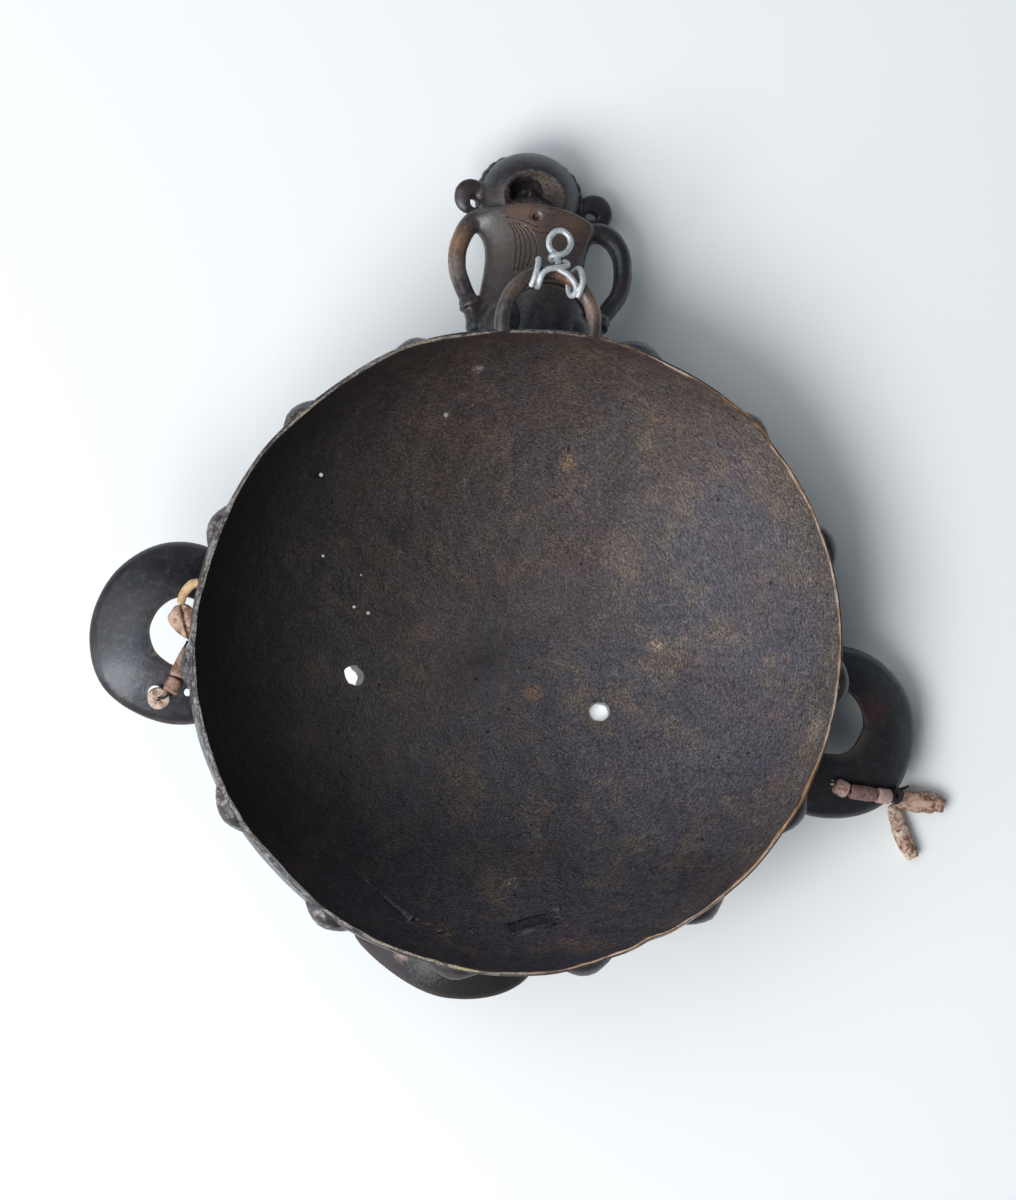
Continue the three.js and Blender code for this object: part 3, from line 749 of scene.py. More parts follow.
def studio():
    scene = bpy.context.scene
    scene.view_settings.view_transform = "Standard"
    scene.world = bpy.data.worlds.new("soft room")
    scene.world.use_nodes = True
    room = scene.world.node_tree.nodes["Background"]
    filled(room, {"Color": (0.86, 0.93, 1, 1), "Strength": 0.19})
    for name, (way, distance, *facts) in LAMPS.items():
        place = Vector(way).normalized() * distance
        lamp(name, place, -place, *facts)
    for name, (place, *facts) in FLOOR_LAMPS.items():
        lamp(name, place, Vector((0, 0, -1)), *facts)
    bpy.ops.mesh.primitive_plane_add(size=8)
    floor = bpy.context.object
    floor.name = "studio_floor"
    floor.data.materials.append(paper_floor())


# The cords

def smooth_line(points, per_span=5):
    """Points along a smooth curve through the given ones."""
    knots = [Vector(point) for point in points]
    ends = [knots[0] * 2 - knots[1], *knots, knots[-1] * 2 - knots[-2]]
    line = []
    for a, b, c, d in zip(ends, ends[1:], ends[2:], ends[3:]):
        for i in range(per_span):
            t = i / per_span
            line.append(0.5 * (2 * b + (c - a) * t + (2 * a - 5 * b + 4 * c - d) * t * t
                               + (3 * b - a - 3 * c + d) * t * t * t))
    return [*line, knots[-1]]


def thread(name, points):
    """A thread as it lies, in metres, with where it starts and how long it is."""
    way = [REST @ (point * MM) for point in smooth_line(points)]
    piece, knots = line_of(name, "POLY", way, THREAD_RADIUS * MM, section=2)
    for knot, point in zip(knots, way):
        knot.co = (*point, 1)
    return piece, way[0], sum((b - a).length for a, b in zip(way, way[1:]))


def strings():
    """Each ear's beads and pendants, and then the thread that carries them."""
    for side, route, pieces in (
        ("left", LEFT_THREAD, left_string()),
        ("right", RIGHT_THREAD, right_string()),
    ):
        piece, start, length = thread(f"{side}_string", route)
        on_floor(piece, f"{side}_string", f"{side}_thread", THREAD)
        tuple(start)
        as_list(pieces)


# Beads and pendants

BEAD_STEPS = 7


def hung(piece, node, material):
    """Puts a bead or a pendant in place of its CAD node."""
    return on_floor(piece, f"{node}_shown", node, material)


def bead(node, start, end, radii, bore, material, seed, ridge=0):
    """A short drilled clay pipe from one point to another."""
    length = (Vector(end) - Vector(start)).length
    first, last = radii
    outline = [(bore, 0), (first * 0.6, -0.1), (first * 0.9, 0.04 * length)]
    for i in range(BEAD_STEPS):
        share = i / (BEAD_STEPS - 1)
        radius = first + (last - first) * share + ridge * math.exp(-((share - 0.62) / 0.07) ** 2)
        outline.append((radius, length * (0.12 + 0.76 * share)))
    outline += [(last * 0.9, 0.96 * length), (last * 0.6, length + 0.1), (bore, length), (bore, 0)]
    piece = roughened(spun(outline, 28), 2.4, 0.25, seed)
    return hung(placed(piece, pointed(start, end)), node, material)


def pod(node, points, radii, material, seed, wrinkle, flat=0.8):
    """A dried, creased pendant."""
    piece = rod(points, radii, section=8, steps=8)
    middle = Vector(points[len(points) // 2]).z
    reshaped(piece, lambda corner: Vector((*corner.xy, middle + (corner.z - middle) * flat)))
    roughened(piece, 3.2, wrinkle, seed)
    roughened(piece, 1.3, wrinkle * 0.4, seed + 1)
    return hung(piece, node, material)


def folded_pod():
    """A leaf-like pendant, wide above, pointed below and folded along its middle."""
    piece = ball((0, 0, 0), (1, 1, 1), segments=56, rings=40)

    def fold(corner):
        down = max(0, -corner.y)
        crease = math.exp(-((corner.x - 0.1 * corner.y) / 0.13) ** 2) * max(0, corner.z)
        return Vector((
            6.5 * corner.x * (1 - 0.78 * down ** 1.6), (10.6 if corner.y < 0 else 6.6) * corner.y,
            4.2 * corner.z * (1 - 0.35 * down) - 2 * crease,
        ))

    reshaped(piece, fold)
    placed(piece, Matrix.Translation((-150.2, -5.9, -19.6)) @ Matrix.Rotation(math.radians(25), 4, "Z"))
    roughened(piece, 3.2, 0.5, 5)
    roughened(piece, 1.3, 0.22, 6)
    return hung(piece, "left_folded_pendant", PINK_POD)


def left_string():
    ring = bead("left_ring_bead", (-155.3, -41.7, -27.2), (-155.6, -42.7, -24.4), (5, 4.8), 0.9, PALE_CLAY, 2)
    brown = BROWN_CLAY
    tube = bead("left_tube_bead", (-151.7, -39.2, -20.1), (-149.4, -32.9, -20.1), (3.7, 3.5), 1.2, brown, 3)
    cone = bead("left_cone_bead", (-149.3, -32.1, -20.4), (-147.7, -18.4, -19.4), (3.6, 1.4), 0.9, brown, 4)
    hook = pod(
        "left_curved_pendant",
        [(-152.3, 0.8, -18.8), (-152, 4.2, -17), (-150.9, 7.2, -14.6), (-149.2, 9.4, -11.8),
         (-146.4, 10.6, -9.6)],
        [1.8, 2, 2.1, 2.1, 1.7], YELLOW_POD, seed=6, wrinkle=0.25, flat=1,
    )
    return [ring, tube, cone, folded_pod(), hook]


def right_knot():
    """The thread's knot and its loose end."""
    points = [
        (194.2, -37.2, -29.6), (195.8, -40.4, -30.6), (198.2, -37.4, -31), (196, -35.4, -30.4),
        (195.2, -39.4, -32.6), (198.8, -39.2, -34.6), (197.2, -35.2, -33.6), (199.6, -34.2, -33),
        (202.2, -32.4, -32.6),
    ]
    knot = rod(points, [0.8, 1.5, 1.5, 1.4, 1.5, 1.3, 1.3, 0.8, 0.6])
    return on_floor(roughened(knot, 1.5, 0.35, 15), "right_knot", None, THREAD)


def right_string():
    pink, dark = PINK_CLAY, DARK_CLAY
    ring = bead("right_ring_bead", (163, -37.5, -23.2), (169.2, -39.5, -23.3), (3.7, 3.7), 0.9, pink, 7)
    long = bead("right_long_bead", (170.6, -39.4, -23.7), (184, -39.2, -26.5), (3.5, 3.4), 1, dark, 8, 0.3)
    short = bead("right_short_bead", (184.9, -39.2, -26.8), (192.3, -39, -29.5), (3.6, 3.5), 1, pink, 9)
    straight = pod(
        "right_straight_pendant",
        [(201.2, -38.9, -50), (204.4, -38.7, -49.9), (209.4, -38.2, -49.4), (215.4, -37.8, -48.6),
         (221, -37.6, -47.8), (226, -38.4, -47.2)],
        [1.2, 3.7, 4.8, 5.1, 4.9, 3], PINK_POD, seed=10, wrinkle=0.75,
    )
    curved = pod(
        "right_curved_pendant",
        [(201.9, -41.3, -53.2), (204.4, -45, -53.6), (207.9, -52.2, -53.7), (212.4, -59.4, -53.6),
         (216, -64.6, -53.3)],
        [1.6, 3.7, 4.3, 4.3, 3], PALE_POD, seed=11, wrinkle=0.8,
    )
    return [ring, long, short, straight, curved, right_knot()]


# The bowl

OVAL = (
    Matrix.Translation((*BOWL_CENTRE, 0))
    @ Matrix.Rotation(RIM_TURN, 4, "Z")
    @ Matrix.Diagonal((1, RIM_SHORT / RIM_LONG, 1, 1))
    @ Matrix.Rotation(-RIM_TURN, 4, "Z")
)
ROUND = OVAL.inverted()

# Where the rim bulges or dips: degrees round the bowl, spread in degrees, and how far out
RIM_SCARS = (
    (52.4, 3, 1.1), (-58.6, 2.4, -1.4), (97, 6, -0.7), (152, 7, 0.6), (-12, 6, 0.5),
    (-77, 12, 1.9), (-131, 15, -1.9), (122, 12, 1.8), (-35, 9, 1.4), (-156, 9, -1.3),
)
# The fine step along the rim, from outside it inwards: how far in, and height
RIM_STEP = ((0, -2.8), (0, -1.6), (0.25, -0.95), (0.65, -0.65), (1, -0.62), (1.25, 0), (2.6, 0))


def section(radius, depth, steps):
    """The bowl's profile from its lowest point up to just below its rim."""
    power = 2 / FULLNESS
    angles = [math.pi / 2 * i / steps for i in range(steps)]
    return [(radius * math.sin(angle) ** power, -depth * math.cos(angle) ** power) for angle in angles]


def bowl_z(x, y, radius, depth):
    out = (ROUND @ Vector((x, y, 0))).to_2d().length / radius
    return -depth * max(0, 1 - out ** FULLNESS) ** (1 / FULLNESS)


def face_z(x, y):
    return bowl_z(x, y, RIM_LONG, FACE_DEPTH)


def inner_z(x, y):
    return bowl_z(x, y, HOLLOW_RADIUS, HOLLOW_DEPTH)


def face_frame(x, y):
    """The matrix whose axes run across, up and outwards on the face at that place."""
    step = 0.5
    slope_x = (face_z(x + step, y) - face_z(x - step, y)) / (2 * step)
    slope_y = (face_z(x, y + step) - face_z(x, y - step)) / (2 * step)
    return facing((x, y, face_z(x, y)), Vector((slope_x, slope_y, -1)).normalized())


def on_face(x, y, lift):
    return face_frame(x, y) @ Vector((0, 0, lift))


def bowl_shape(corner):
    """Turns the round bowl into the mask's oval, with the bumps and dips of its rim."""
    out = math.hypot(corner.x, corner.y)
    angle = math.degrees(math.atan2(corner.y, corner.x))
    near_rim = min(1, max(0, 1 + corner.z / 26)) ** 2
    push = 0.7 * noise.noise(Vector((corner.x, corner.y, 0)) / 34)
    for middle, spread, depth in RIM_SCARS:
        push += depth * math.exp(-((angle - middle) / spread) ** 2)
    place = OVAL @ corner
    if out > 1:
        place += Vector((corner.x, corner.y, 0)) / out * push * near_rim
    place.z += 0.9 * near_rim * noise.noise(Vector((corner.x, corner.y, 60)) / 60)
    return place


def solid_bowl():
    """The bowl's outside, filled up to its rim, which has a fine step along it."""
    outline = section(RIM_LONG, FACE_DEPTH, BOWL_RINGS)
    outline += [(RIM_LONG - inset, height) for inset, height in RIM_STEP]
    outline += [(RIM_LONG / 2, 0), (0, 0)]
    piece = reshaped(spun(outline, BOWL_SIDES), bowl_shape)
    roughened(piece, 42, 0.7, 1)
    return roughened(piece, 13, 0.25, 2)


def hollow():
    """What is cut out of the bowl: the rough cast inside."""
    radius = HOLLOW_RADIUS
    outline = section(radius, HOLLOW_DEPTH, HOLLOW_RINGS)
    outline += [(radius, -1.4), (radius + 0.1, -0.5), (radius + 0.45, 0.2), (radius + 0.5, 14), (0, 14)]
    piece = reshaped(spun(outline, BOWL_SIDES), bowl_shape)
    roughened(piece, 42, 0.7, 1)
    roughened(piece, 14, 0.5, 9)
    return roughened(piece, 5, 0.28, 10)


def in_bowl(face, place):
    """Whether a face lies in the hollow, given its centre in the round bowl."""
    out = place.to_2d().length / HOLLOW_RADIUS
    level = out ** FULLNESS + (max(0, -place.z) / HOLLOW_DEPTH) ** FULLNESS
    away = Vector((place.x, place.y, place.z * (HOLLOW_RADIUS / HOLLOW_DEPTH) ** 2))
    return place.z < 0.5 and (level < 0.97 or (level < 1.06 and face.normal.dot(away) < 0))


def in_dish(face):
    """Whether a face lies in the hollow hood of the crest figure's head."""
    away = face.center - DISH
    reach = Vector([part / radius for part, radius in zip(away, DISH_RADII)]).length
    return reach < 1.06 and face.normal.dot(away) < 0


def on_rim(face, place):
    """Whether a face lies on the rim's top, and not on the suspension ring."""
    x, y = ((face.center[i] - RING_CENTRE[i]) / RING_RADII[i] for i in (0, 1))
    on_ring = face.center.y > RING_CENTRE[1] - 8 and abs(math.hypot(x, y) - 1) < 0.16
    out = place.to_2d().length
    return -0.66 < place.z < 1.6 and HOLLOW_RADIUS - 0.6 < out < RIM_LONG + 1.5 and not on_ring


def faced(piece):
    """Gives the skin, the hollow and the rim their own finish, told apart by place and direction."""
    piece.data.materials.clear()
    for material in (SKIN, HOLLOW, RIM):
        piece.data.materials.append(material)
    on_skin, on_hollow, on_top = range(3)
    for face in piece.data.polygons:
        place = ROUND @ face.center
        if on_rim(face, place):
            face.material_index = on_top
        elif in_bowl(face, place) or in_dish(face):
            face.material_index = on_hollow
        else:
            face.material_index = on_skin
    return piece


# The bosses behind the rim

BOSS_FIRST = -5.3
BOSS_PITCH = 24.4
BOSS_RADII = (12, 7.3, 6.5)
BOSS_SHIFT = (3.3, 2)
BOSS_INSET = 2.9
BOSS_DEPTH = 7.4


def boss(index):
    """A lens-shaped boss with a ridge along its middle."""
    angle = math.radians(BOSS_FIRST + BOSS_PITCH * index)
    outward = Vector((math.sin(angle), -math.cos(angle), 0))
    oval = (ROUND.to_3x3() @ outward).length
    centre = outward * (RIM_LONG / oval - BOSS_INSET)
    place = (centre.x + BOSS_SHIFT[0], centre.y + BOSS_SHIFT[1], -BOSS_DEPTH)
    lens = ball((0, 0, 0), (1, 1, 1), segments=20, rings=12)

    def ridged(corner):
        x, y, z = corner
        lift = 0.08 * math.exp(-(z / 0.16) ** 2) * (1 - x ** 2)
        point = 1 + 0.12 * abs(x) ** 3
        return Vector((x * point, y * (1 + lift) * (1 - 0.25 * x ** 2), z * (1 - 0.3 * x ** 2)))

    reshaped(lens, ridged)
    turn = Matrix.Rotation(angle, 4, "Z")
    placed(lens, Matrix.Translation(place) @ turn @ Matrix.Diagonal((*BOSS_RADII, 1)))
    return roughened(lens, 7, 0.5, index + 20)


# The ears

def ear_surface(distance):
    share = max(0, distance - EAR_FLAT) / (EAR_RADIUS - EAR_FLAT)
    return EAR_TOP - EAR_DROP * share ** 1.6


def drill(x, y, radius, sides=20):
    """What is cut straight through an ear."""
    return peg(radius, 30, sides, (x, y, EAR_TOP - 11))


def ear_hole(x, y, radius, seed):
    """An ear's big hole, worn out of round."""
    def worn(corner):
        way = Vector((corner.x - x, corner.y - y, 0))
        swell = 1 + 0.05 * noise.noise(way.normalized() * 1.7 + Vector((seed, 0, 0)))
        return Vector((x + way.x * swell, y + way.y * swell, corner.z))

    return reshaped(drill(x, y, radius, 72), worn)


def ear(side):
    """A ring ear: a disc that bends away towards its edge, cut by hand and pierced."""
    facts = EARS[side]
    cx, cy = facts["centre"]
    middle, spread, bulge = facts["flank"]
    radii = [EAR_FLAT + (EAR_RADIUS - 1.6 - EAR_FLAT) * i / 12 for i in range(13)]
    back = [(radius, ear_surface(radius)) for radius in radii]
    front = [(radius, height - EAR_THICKNESS) for radius, height in reversed(back)]
    edge_z = ear_surface(EAR_RADIUS)
    edge = [(EAR_RADIUS - 0.6, edge_z - 0.5), (EAR_RADIUS, edge_z - 1.4), (EAR_RADIUS - 0.3, edge_z - 2.5)]
    under = EAR_TOP - EAR_THICKNESS
    piece = spun([(0, EAR_TOP), (8, EAR_TOP), *back, *edge, *front, (8, under), (0, under)], 96)
    placed(piece, Matrix.Translation((cx, cy, 0)))

    def hand_cut(corner):
        way = Vector((corner.x - cx, corner.y - cy, 0))
        share = (way.length / EAR_RADIUS) ** 3
        angle = math.degrees(math.atan2(way.y, way.x))
        flank = bulge * math.exp(-((angle - middle) / spread) ** 2)
        swell = share * (flank + 0.8 * noise.noise(way / 26 + Vector((cx, 0, 0))))
        return corner + way.normalized() * swell

    reshaped(piece, hand_cut)
    roughened(piece, 24, 0.7, facts["seed"])
    return pierced(piece, ear_hole(*facts["hole"], cx))


# The face: a calm, round face with almond eyes, a broad nose and an open mouth

EYE_PLACE = (60.5, -15.5)
EYE_HOLE = 4.7
EYE_RADII = (25, 14, 5.5)
NOSE_TIP = (0, -50, -104)
MOUTH_TILT = math.radians(40)
MOUTH_SEAT = (-2.4, -121.8, -54.9)
MOUTH_RADII = (44, 33.2)
MOUTH_REACH = 16
THROAT = 22.5
TOOTH_COUNT = 7
TOOTH_PITCH = 4.9
# Points along a brow, and its radius at each
BROW = (
    (9, 4, 2.2), (17, 12, 2.6), (26, 17, 2.8), (39, 21, 2.9), (52, 22, 2.9), (66, 19, 2.8), (80, 12, 2.6),
    (90, 3, 2.4), (98, -8, 1.6),
)


def eye_frame(sign):
    return face_frame(sign * EYE_PLACE[0], EYE_PLACE[1])


def eye(sign):
    wide, high, _ = EYE_RADII
    globe = ball((0, 0, 0), EYE_RADII, segments=40, rings=20)
    lid = hoop((0, 0, 0.6), 1, 0.075, scale=(wide + 1, high + 1, 32), sides=64)
    crease = hoop((0, 0, -0.4), 1, 0.04, scale=(wide + 5, high + 5, 32), sides=64, section=8)
    pieces = [globe, lid, crease]

    def almond(corner):
        squeeze = 1 - 0.32 * min(1, (corner.x / wide) ** 2)
        return Vector((corner.x * 1.02, corner.y * squeeze, corner.z))

    for piece in pieces:
        reshaped(piece, almond)
        placed(piece, eye_frame(sign) @ Matrix.Rotation(math.radians(-4 * sign), 4, "Z"))
    return pieces


def eye_hole(sign):
    """A pierced pupil, ragged where the metal is thin."""
    def ragged(corner):
        angle = math.atan2(corner.y, corner.x)
        if sign > 0:
            swell = 0.05 * math.cos(2 * angle + 0.6) + 0.03 * math.sin(6 * angle + 1)
        else:
            swell = 0.1 * math.cos(2 * angle - 1.2) + 0.04 * math.sin(5 * angle)
            swell += 0.025 * math.sin(9 * angle - 1)
        return Vector((corner.x * (1 + swell), corner.y * (1 + swell), corner.z))

    return placed(reshaped(peg(EYE_HOLE, 60, 36), ragged), eye_frame(sign))


def twisted(line, radius, turns, lift):
    """Two wax threads twisted into a cord that lies on the face."""
    strands = []
    count = turns * 8
    for phase in (0, math.pi):
        way = []
        for i in range(count + 1):
            share = i / count * (len(line) - 1)
            low = min(int(share), len(line) - 2)
            x, y = line[low].lerp(line[low + 1], share - low)
            ahead = (line[low + 1] - line[low]).normalized()
            angle = 2 * math.pi * turns * i / count + phase
            side = Vector((-ahead.y, ahead.x)) * radius * math.cos(angle)
            way.append(on_face(x + side.x, y + side.y, lift + radius * 0.8 * math.sin(angle)))
        strands.append(rod(way, radius * 0.95, section=2, steps=2))
    return strands


def brow(sign):
    return rod([on_face(sign * x, y, 0.3) for x, y, _ in BROW], [radius for _, _, radius in BROW], section=3)


def headband():
    angles = [math.radians(degrees) for degrees in range(-72, 73, 6)]
    return twisted([Vector((112 * math.sin(angle), 108 * math.cos(angle))) for angle in angles], 2.1, 24, 0.8)


def nose():
    x, y, z = NOSE_TIP
    bridge = ball((x, -18, face_z(0, -18)), (8.5, 42, 11), (math.radians(9), 0, 0))
    tip = ball((x, y, z + 15), (14, 15, 16))
    wings = [ball((sign * 15, y - 5, z + 19), (10, 9, 11)) for sign in (-1, 1)]
    return [bridge, tip, *wings]


def mouth_frame():
    return facing(MOUTH_SEAT, Vector((0, -math.sin(MOUTH_TILT), -math.cos(MOUTH_TILT))))


def lip():
    """A flared, open lip with a smooth rolled edge."""
    wide, high = MOUTH_RADII
    reach = MOUTH_REACH
    outline = [
        (0, -9), (29, -9), (30.4, -2), (33, 5), (37.6, 11), (wide - 1.4, reach - 1.6),
        (wide - 0.3, reach - 0.4), (wide, reach + 0.6), (wide - 0.5, reach + 1.6), (wide - 1.6, reach + 2.1),
        (wide - 3.4, reach + 1.6), (37, 15.4), (33, 13.6), (THROAT, 12.4), (20.5, 3), (0, 3),
    ]

    def lopsided(corner):
        left = max(0, corner.x) / wide
        rise = 1 - 0.44 * left ** 1.8 if corner.y < 0 else 1
        return Vector((corner.x, corner.y * high / wide * rise, corner.z))

    return placed(reshaped(spun(outline, 160), lopsided), mouth_frame())


def teeth():
    """A row of teeth above and below, inside the lip."""
    wide, high = MOUTH_RADII
    row = []
    for sign in (-1, 1):
        for i in range(TOOTH_COUNT):
            x = (i - (TOOTH_COUNT - 1) / 2) * TOOTH_PITCH
            y = sign * (math.sqrt(THROAT ** 2 - x * x) * high / wide - 2.2)
            tooth = block((4.3, 5.4, 7.5), bevel=1.2)
            row.append(placed(tooth, mouth_frame() @ Matrix.Translation((x, y, 9))))
    return row


# The crest figure, seated astride the forehead with its hands on its thighs

FIGURE = (
    Matrix.Translation(SEAT)
    @ Matrix.Rotation(-FIGURE_LEAN, 4, "X")
    @ Matrix.Rotation(math.radians(-90), 4, "X")
)
LEFT_ARM = (
    (-23, 205.2, -43.5), (-31, 204, -43.5), (-37.8, 201, -43.5), (-43.6, 190.5, -42), (-44.4, 178, -40),
    (-41.4, 168, -36), (-36.8, 159, -33), (-33.6, 149, -30),
)
RIGHT_ARM = (
    (14, 203.5, -46), (24, 205.5, -46), (32, 200, -45.5), (35.4, 188.5, -43), (34.2, 177, -40),
    (29.6, 169, -36), (24.2, 160, -33), (20, 149, -30),
)
# Bracelets: how far along from the wrist, radius and thickness
BRACELETS = ((-1.9, 4.4, 1.05), (0.9, 4.6, 1.25))
# Lines engraved in the wax of the back, below the left shoulder
ENGRAVED = (
    ((-20.9, 203), (-18.4, 199.4), (-16.6, 193.6), (-16.1, 187.7), (-16, 181)),
    ((-19.6, 203.2), (-16.4, 199.7), (-14.3, 194), (-13.8, 188.1), (-14.3, 181.5)),
    ((-18.2, 203.3), (-14.4, 199.8), (-11.9, 194.5), (-11.4, 189.2), (-12.3, 182.5)),
    ((-16.9, 203.4), (-12.4, 200.1), (-9.5, 194.9), (-8.9, 189.6), (-10.2, 184)),
    ((-15.5, 203.4), (-10.4, 200.8), (-6.9, 195.3), (-6.2, 188.7)),
    ((-17, 204), (-11.3, 202.3), (-5.7, 201.3), (-0.9, 201.5)),
    ((-23.3, 205.6), (-17.2, 205.7), (-11.6, 204.6), (-7.4, 203.4)),
)
FLAW = (-8.9, 208.4)


def torso():
    outline = [
        (0, -8), (25, -8), (26.6, -2), (27.2, 6), (26.9, 14), (26.1, 22), (25.1, 30), (24.7, 38), (25.4, 45),
        (26.7, 50), (28.8, 55), (31, 59), (33.2, 62), (34.5, 63.8), (34, 65.2), (32, 65.8), (0, 66.2),
    ]

    def round_shoulders(corner):
        top = min(1, max(0, (corner.z - 42) / 20))
        drop = 1.2 + 5.4 * (corner.x / 33) ** 2 + 1.6 * (min(0, corner.x) / 30) ** 2
        across = min(corner.x, 23 + (corner.x - 23) * 0.45) if corner.x > 0 else corner.x * 0.955
        return Vector((across - 2, corner.y * 0.42, corner.z - drop * top))

    return placed(reshaped(spun(outline, 64), round_shoulders), FIGURE)


def pelvis():
    """The hips, with a ridged belt that dips to both sides."""
    outline = [
        (0, -9), (19.6, -9), (20.4, 2), (20.5, 20.6), (21.6, 21.2), (21.6, 21.9), (20.5, 22.4), (20, 23.6),
        (20.8, 24.1), (20.8, 24.7), (19.4, 25.3),
    ]
    for rung in range(3):
        radius = 18.6 - 2.1 * rung
        height = 26.4 + 2.2 * rung
        outline += [(radius, height), (radius + 0.9, height + 0.6), (radius - 0.9, height + 1.3)]
    outline += [(11, 33), (0, 33.4)]

    def dipped(corner):
        share = min(1, max(0, corner.z / 18))
        return Vector((corner.x + 3.4, corner.y * 0.84, corner.z - 5.6 * share * (corner.x / 20) ** 2))

    return placed(reshaped(spun(outline, 128), dipped), FIGURE)


def head():
    """The head with its hollow hood, neck, face, ears and pierced ear discs."""
    x, y, z = HEAD_CENTRE
    skull = ball(HEAD_CENTRE, HEAD_RADII, segments=48, rings=28)
    dish = roughened(ball(DISH, DISH_RADII, segments=64, rings=32), 3, 0.5, 5)
    hole = roughened(ball((x - 4.2, y + 0.4, z + 14), (8.4, 8.2, 12), segments=48, rings=28), 3.4, 2, 12)
    pierced(skull, dish, hole)
    neck = ball((x - 0.4, y - 9.4, z + 11), (12.5, 9.4, 9.5))
    snub = ball((x, y - 3, z - HEAD_RADII[2]), (4.5, 7, 3))
    parts = [skull, neck, snub]
    for sign in (-1, 1):
        parts.append(ball((x + sign * 10, y + 2, z - 16.6), (6, 3.4, 2.6)))
        parts.append(ball((x + sign * 23, y - 1, z), (5, 4.5, 4)))
    parts.append(hoop((x, y - 12, z - 15.5), 5, 1.4, scale=(1.1, 0.6, 1)))
    for place, radii, opening, opening_radii in EAR_DISCS:
        disc = ball((*place, z + 1), radii, segments=40, rings=20)
        parts.append(pierced(disc, ball((*opening, z + 1), opening_radii)))
    return parts


def hair():
    """Rows of flat plaits over the head, nearer to the hollow at its sides."""
    x, y, z = HEAD_CENTRE
    wide, high, deep = HEAD_RADII
    locks = []
    for row in range(2):
        for degrees in range(-104, 105, 13):
            angle = math.radians(degrees + 6 * row)
            side = math.sin(angle)
            lift = -9 + (11.5 if side > 0 else -8) * side - 5.2 * row
            out = math.sqrt(1 - (lift / deep) ** 2) * 0.985
            place = (x + wide * out * side, y + high * out * math.cos(angle), z + lift)
            locks.append(ball(place, (3.5, 2, 3.6), (0, math.radians(16), -angle), segments=16, rings=10))
    return remelted(joined(locks), 0.7, 0)


def arm(points, shoulder):
    """An arm down to its hand, with two bracelets at the wrist."""
    tube = rod(points, [shoulder, shoulder + 0.2, 4.9, 4.5, 4.3, 4.2, 4.1, 4.4])
    hand = ball(points[-1], (5, 5.4, 4.6))
    wrist = pointed(*points[-2:])
    rings = []
    for along, radius, thickness in BRACELETS:
        ring = hoop((0, 0, 0), radius, thickness, sides=28, section=10)
        rings.append(placed(ring, wrist @ Matrix.Translation((0, 0, along))))
    return [tube, hand, *rings]


def legs():
    parts = []
    for sign in (-1, 1):
        x = SEAT[0] + sign * 13
        knee = SEAT[0] + sign * 21
        shin = [(x, 148, -40), (knee, 140, -50), (knee, 126, -56), (knee, 110, -66)]
        parts.append(ball((x + sign * 1.5, 149.5, -30), (13, 15.5, 13)))
        parts.append(rod(shin, [7.5, 7.2, 6.4, 5.2]))
        parts.append(ball((knee, 106, -67), (8, 12, 6), (math.radians(-38), 0, 0)))
    return parts


def skin_under(piece):
    """Gives a function for the spot on the piece that the camera sees through a place."""
    corners = [corner.co for corner in piece.data.vertices]
    tree = BVHTree.FromPolygons(corners, [face.vertices for face in piece.data.polygons])

    def spot_at(x, y, lift):
        place = Vector((x, y, -45))
        way = (EYE_POINT - place).normalized()
        hit = tree.ray_cast(place + way * 60, -way)[0] or place
        return hit + way * lift

    return spot_at


def crest_figure():
    whole = joined([torso(), *head(), *arm(LEFT_ARM, 4.5), *arm(RIGHT_ARM, 5), *legs()])
    remelted(whole, 0.95, 3)
    fused(whole, pelvis(), hair())
    spot_at = skin_under(whole)
    cuts = [rod([spot_at(x, y, 0.1) for x, y in line], 0.55, section=2, steps=5) for line in ENGRAVED]
    flaw = roughened(ball(spot_at(*FLAW, 0.6), (1.9, 1.6, 3), segments=16, rings=10), 1.5, 0.7, 13)
    dent = roughened(ball(spot_at(*FLAW, 1.3), (4.4, 3.4, 1.9), segments=24, rings=12), 3, 0.6, 14)
    return pierced(whole, *cuts, dent, flaw)


def suspension_ring():
    """A bow behind the figure, a little thicker at its ends."""
    x, y, z = RING_CENTRE
    wide, high = RING_RADII
    angles = [math.radians(degrees) for degrees in range(-20, 201, 10)]
    points = [(x + wide * math.cos(angle), y + high * math.sin(angle), z) for angle in angles]
    radii = [RING_TUBE + 0.45 * abs(math.cos(angle)) for angle in angles]
    return roughened(rod(points, radii, section=5, steps=3), 9, 0.35, 6)


# Scars of the cast, inside

# Pin holes: place and radius
PORES = (
    (-36.9, 110.1, 1.1), (26.2, 133.2, 1.2), (-3.6, 91.2, 0.8), (1.2, 92, 1.1), (-91.8, 72.7, 0.9),
    (-83.5, 37.1, 0.7), (-63.4, 31.7, 0.5), (-64.5, 16.4, 0.75), (-57.2, 14.7, 0.9), (-14.1, 37.2, 0.7),
)
# Crumbs of metal: place, radii and turn. The last is the slot's raised lower lip.
CRUMBS = (
    (-15.2, -126.2, (2.6, 1.2, 1.2), 10), (-10.5, -128.2, (2.2, 1.5, 1.3), -30),
    (-6.2, -130, (1.8, 1, 1), 20), (4.6, -127.4, (3.2, 0.9, 1.1), 30),
    (9.4, -129.9, (1.6, 1, 1), 10), (-20.4, -124.6, (2, 1.4, 1.3), 0),
    (44.5, -111.5, (1.9, 1.4, 1.4), 0), (24.5, -101.4, (2.4, 0.8, 0.8), -35),
    (33.7, -121.8, (20, 1, 1.5), -29),
)
SLOT_PLACE = (31.8, -119)
SLOT_SIZE = (21, 6.2, 3.8)
SLOT_TURN = -29
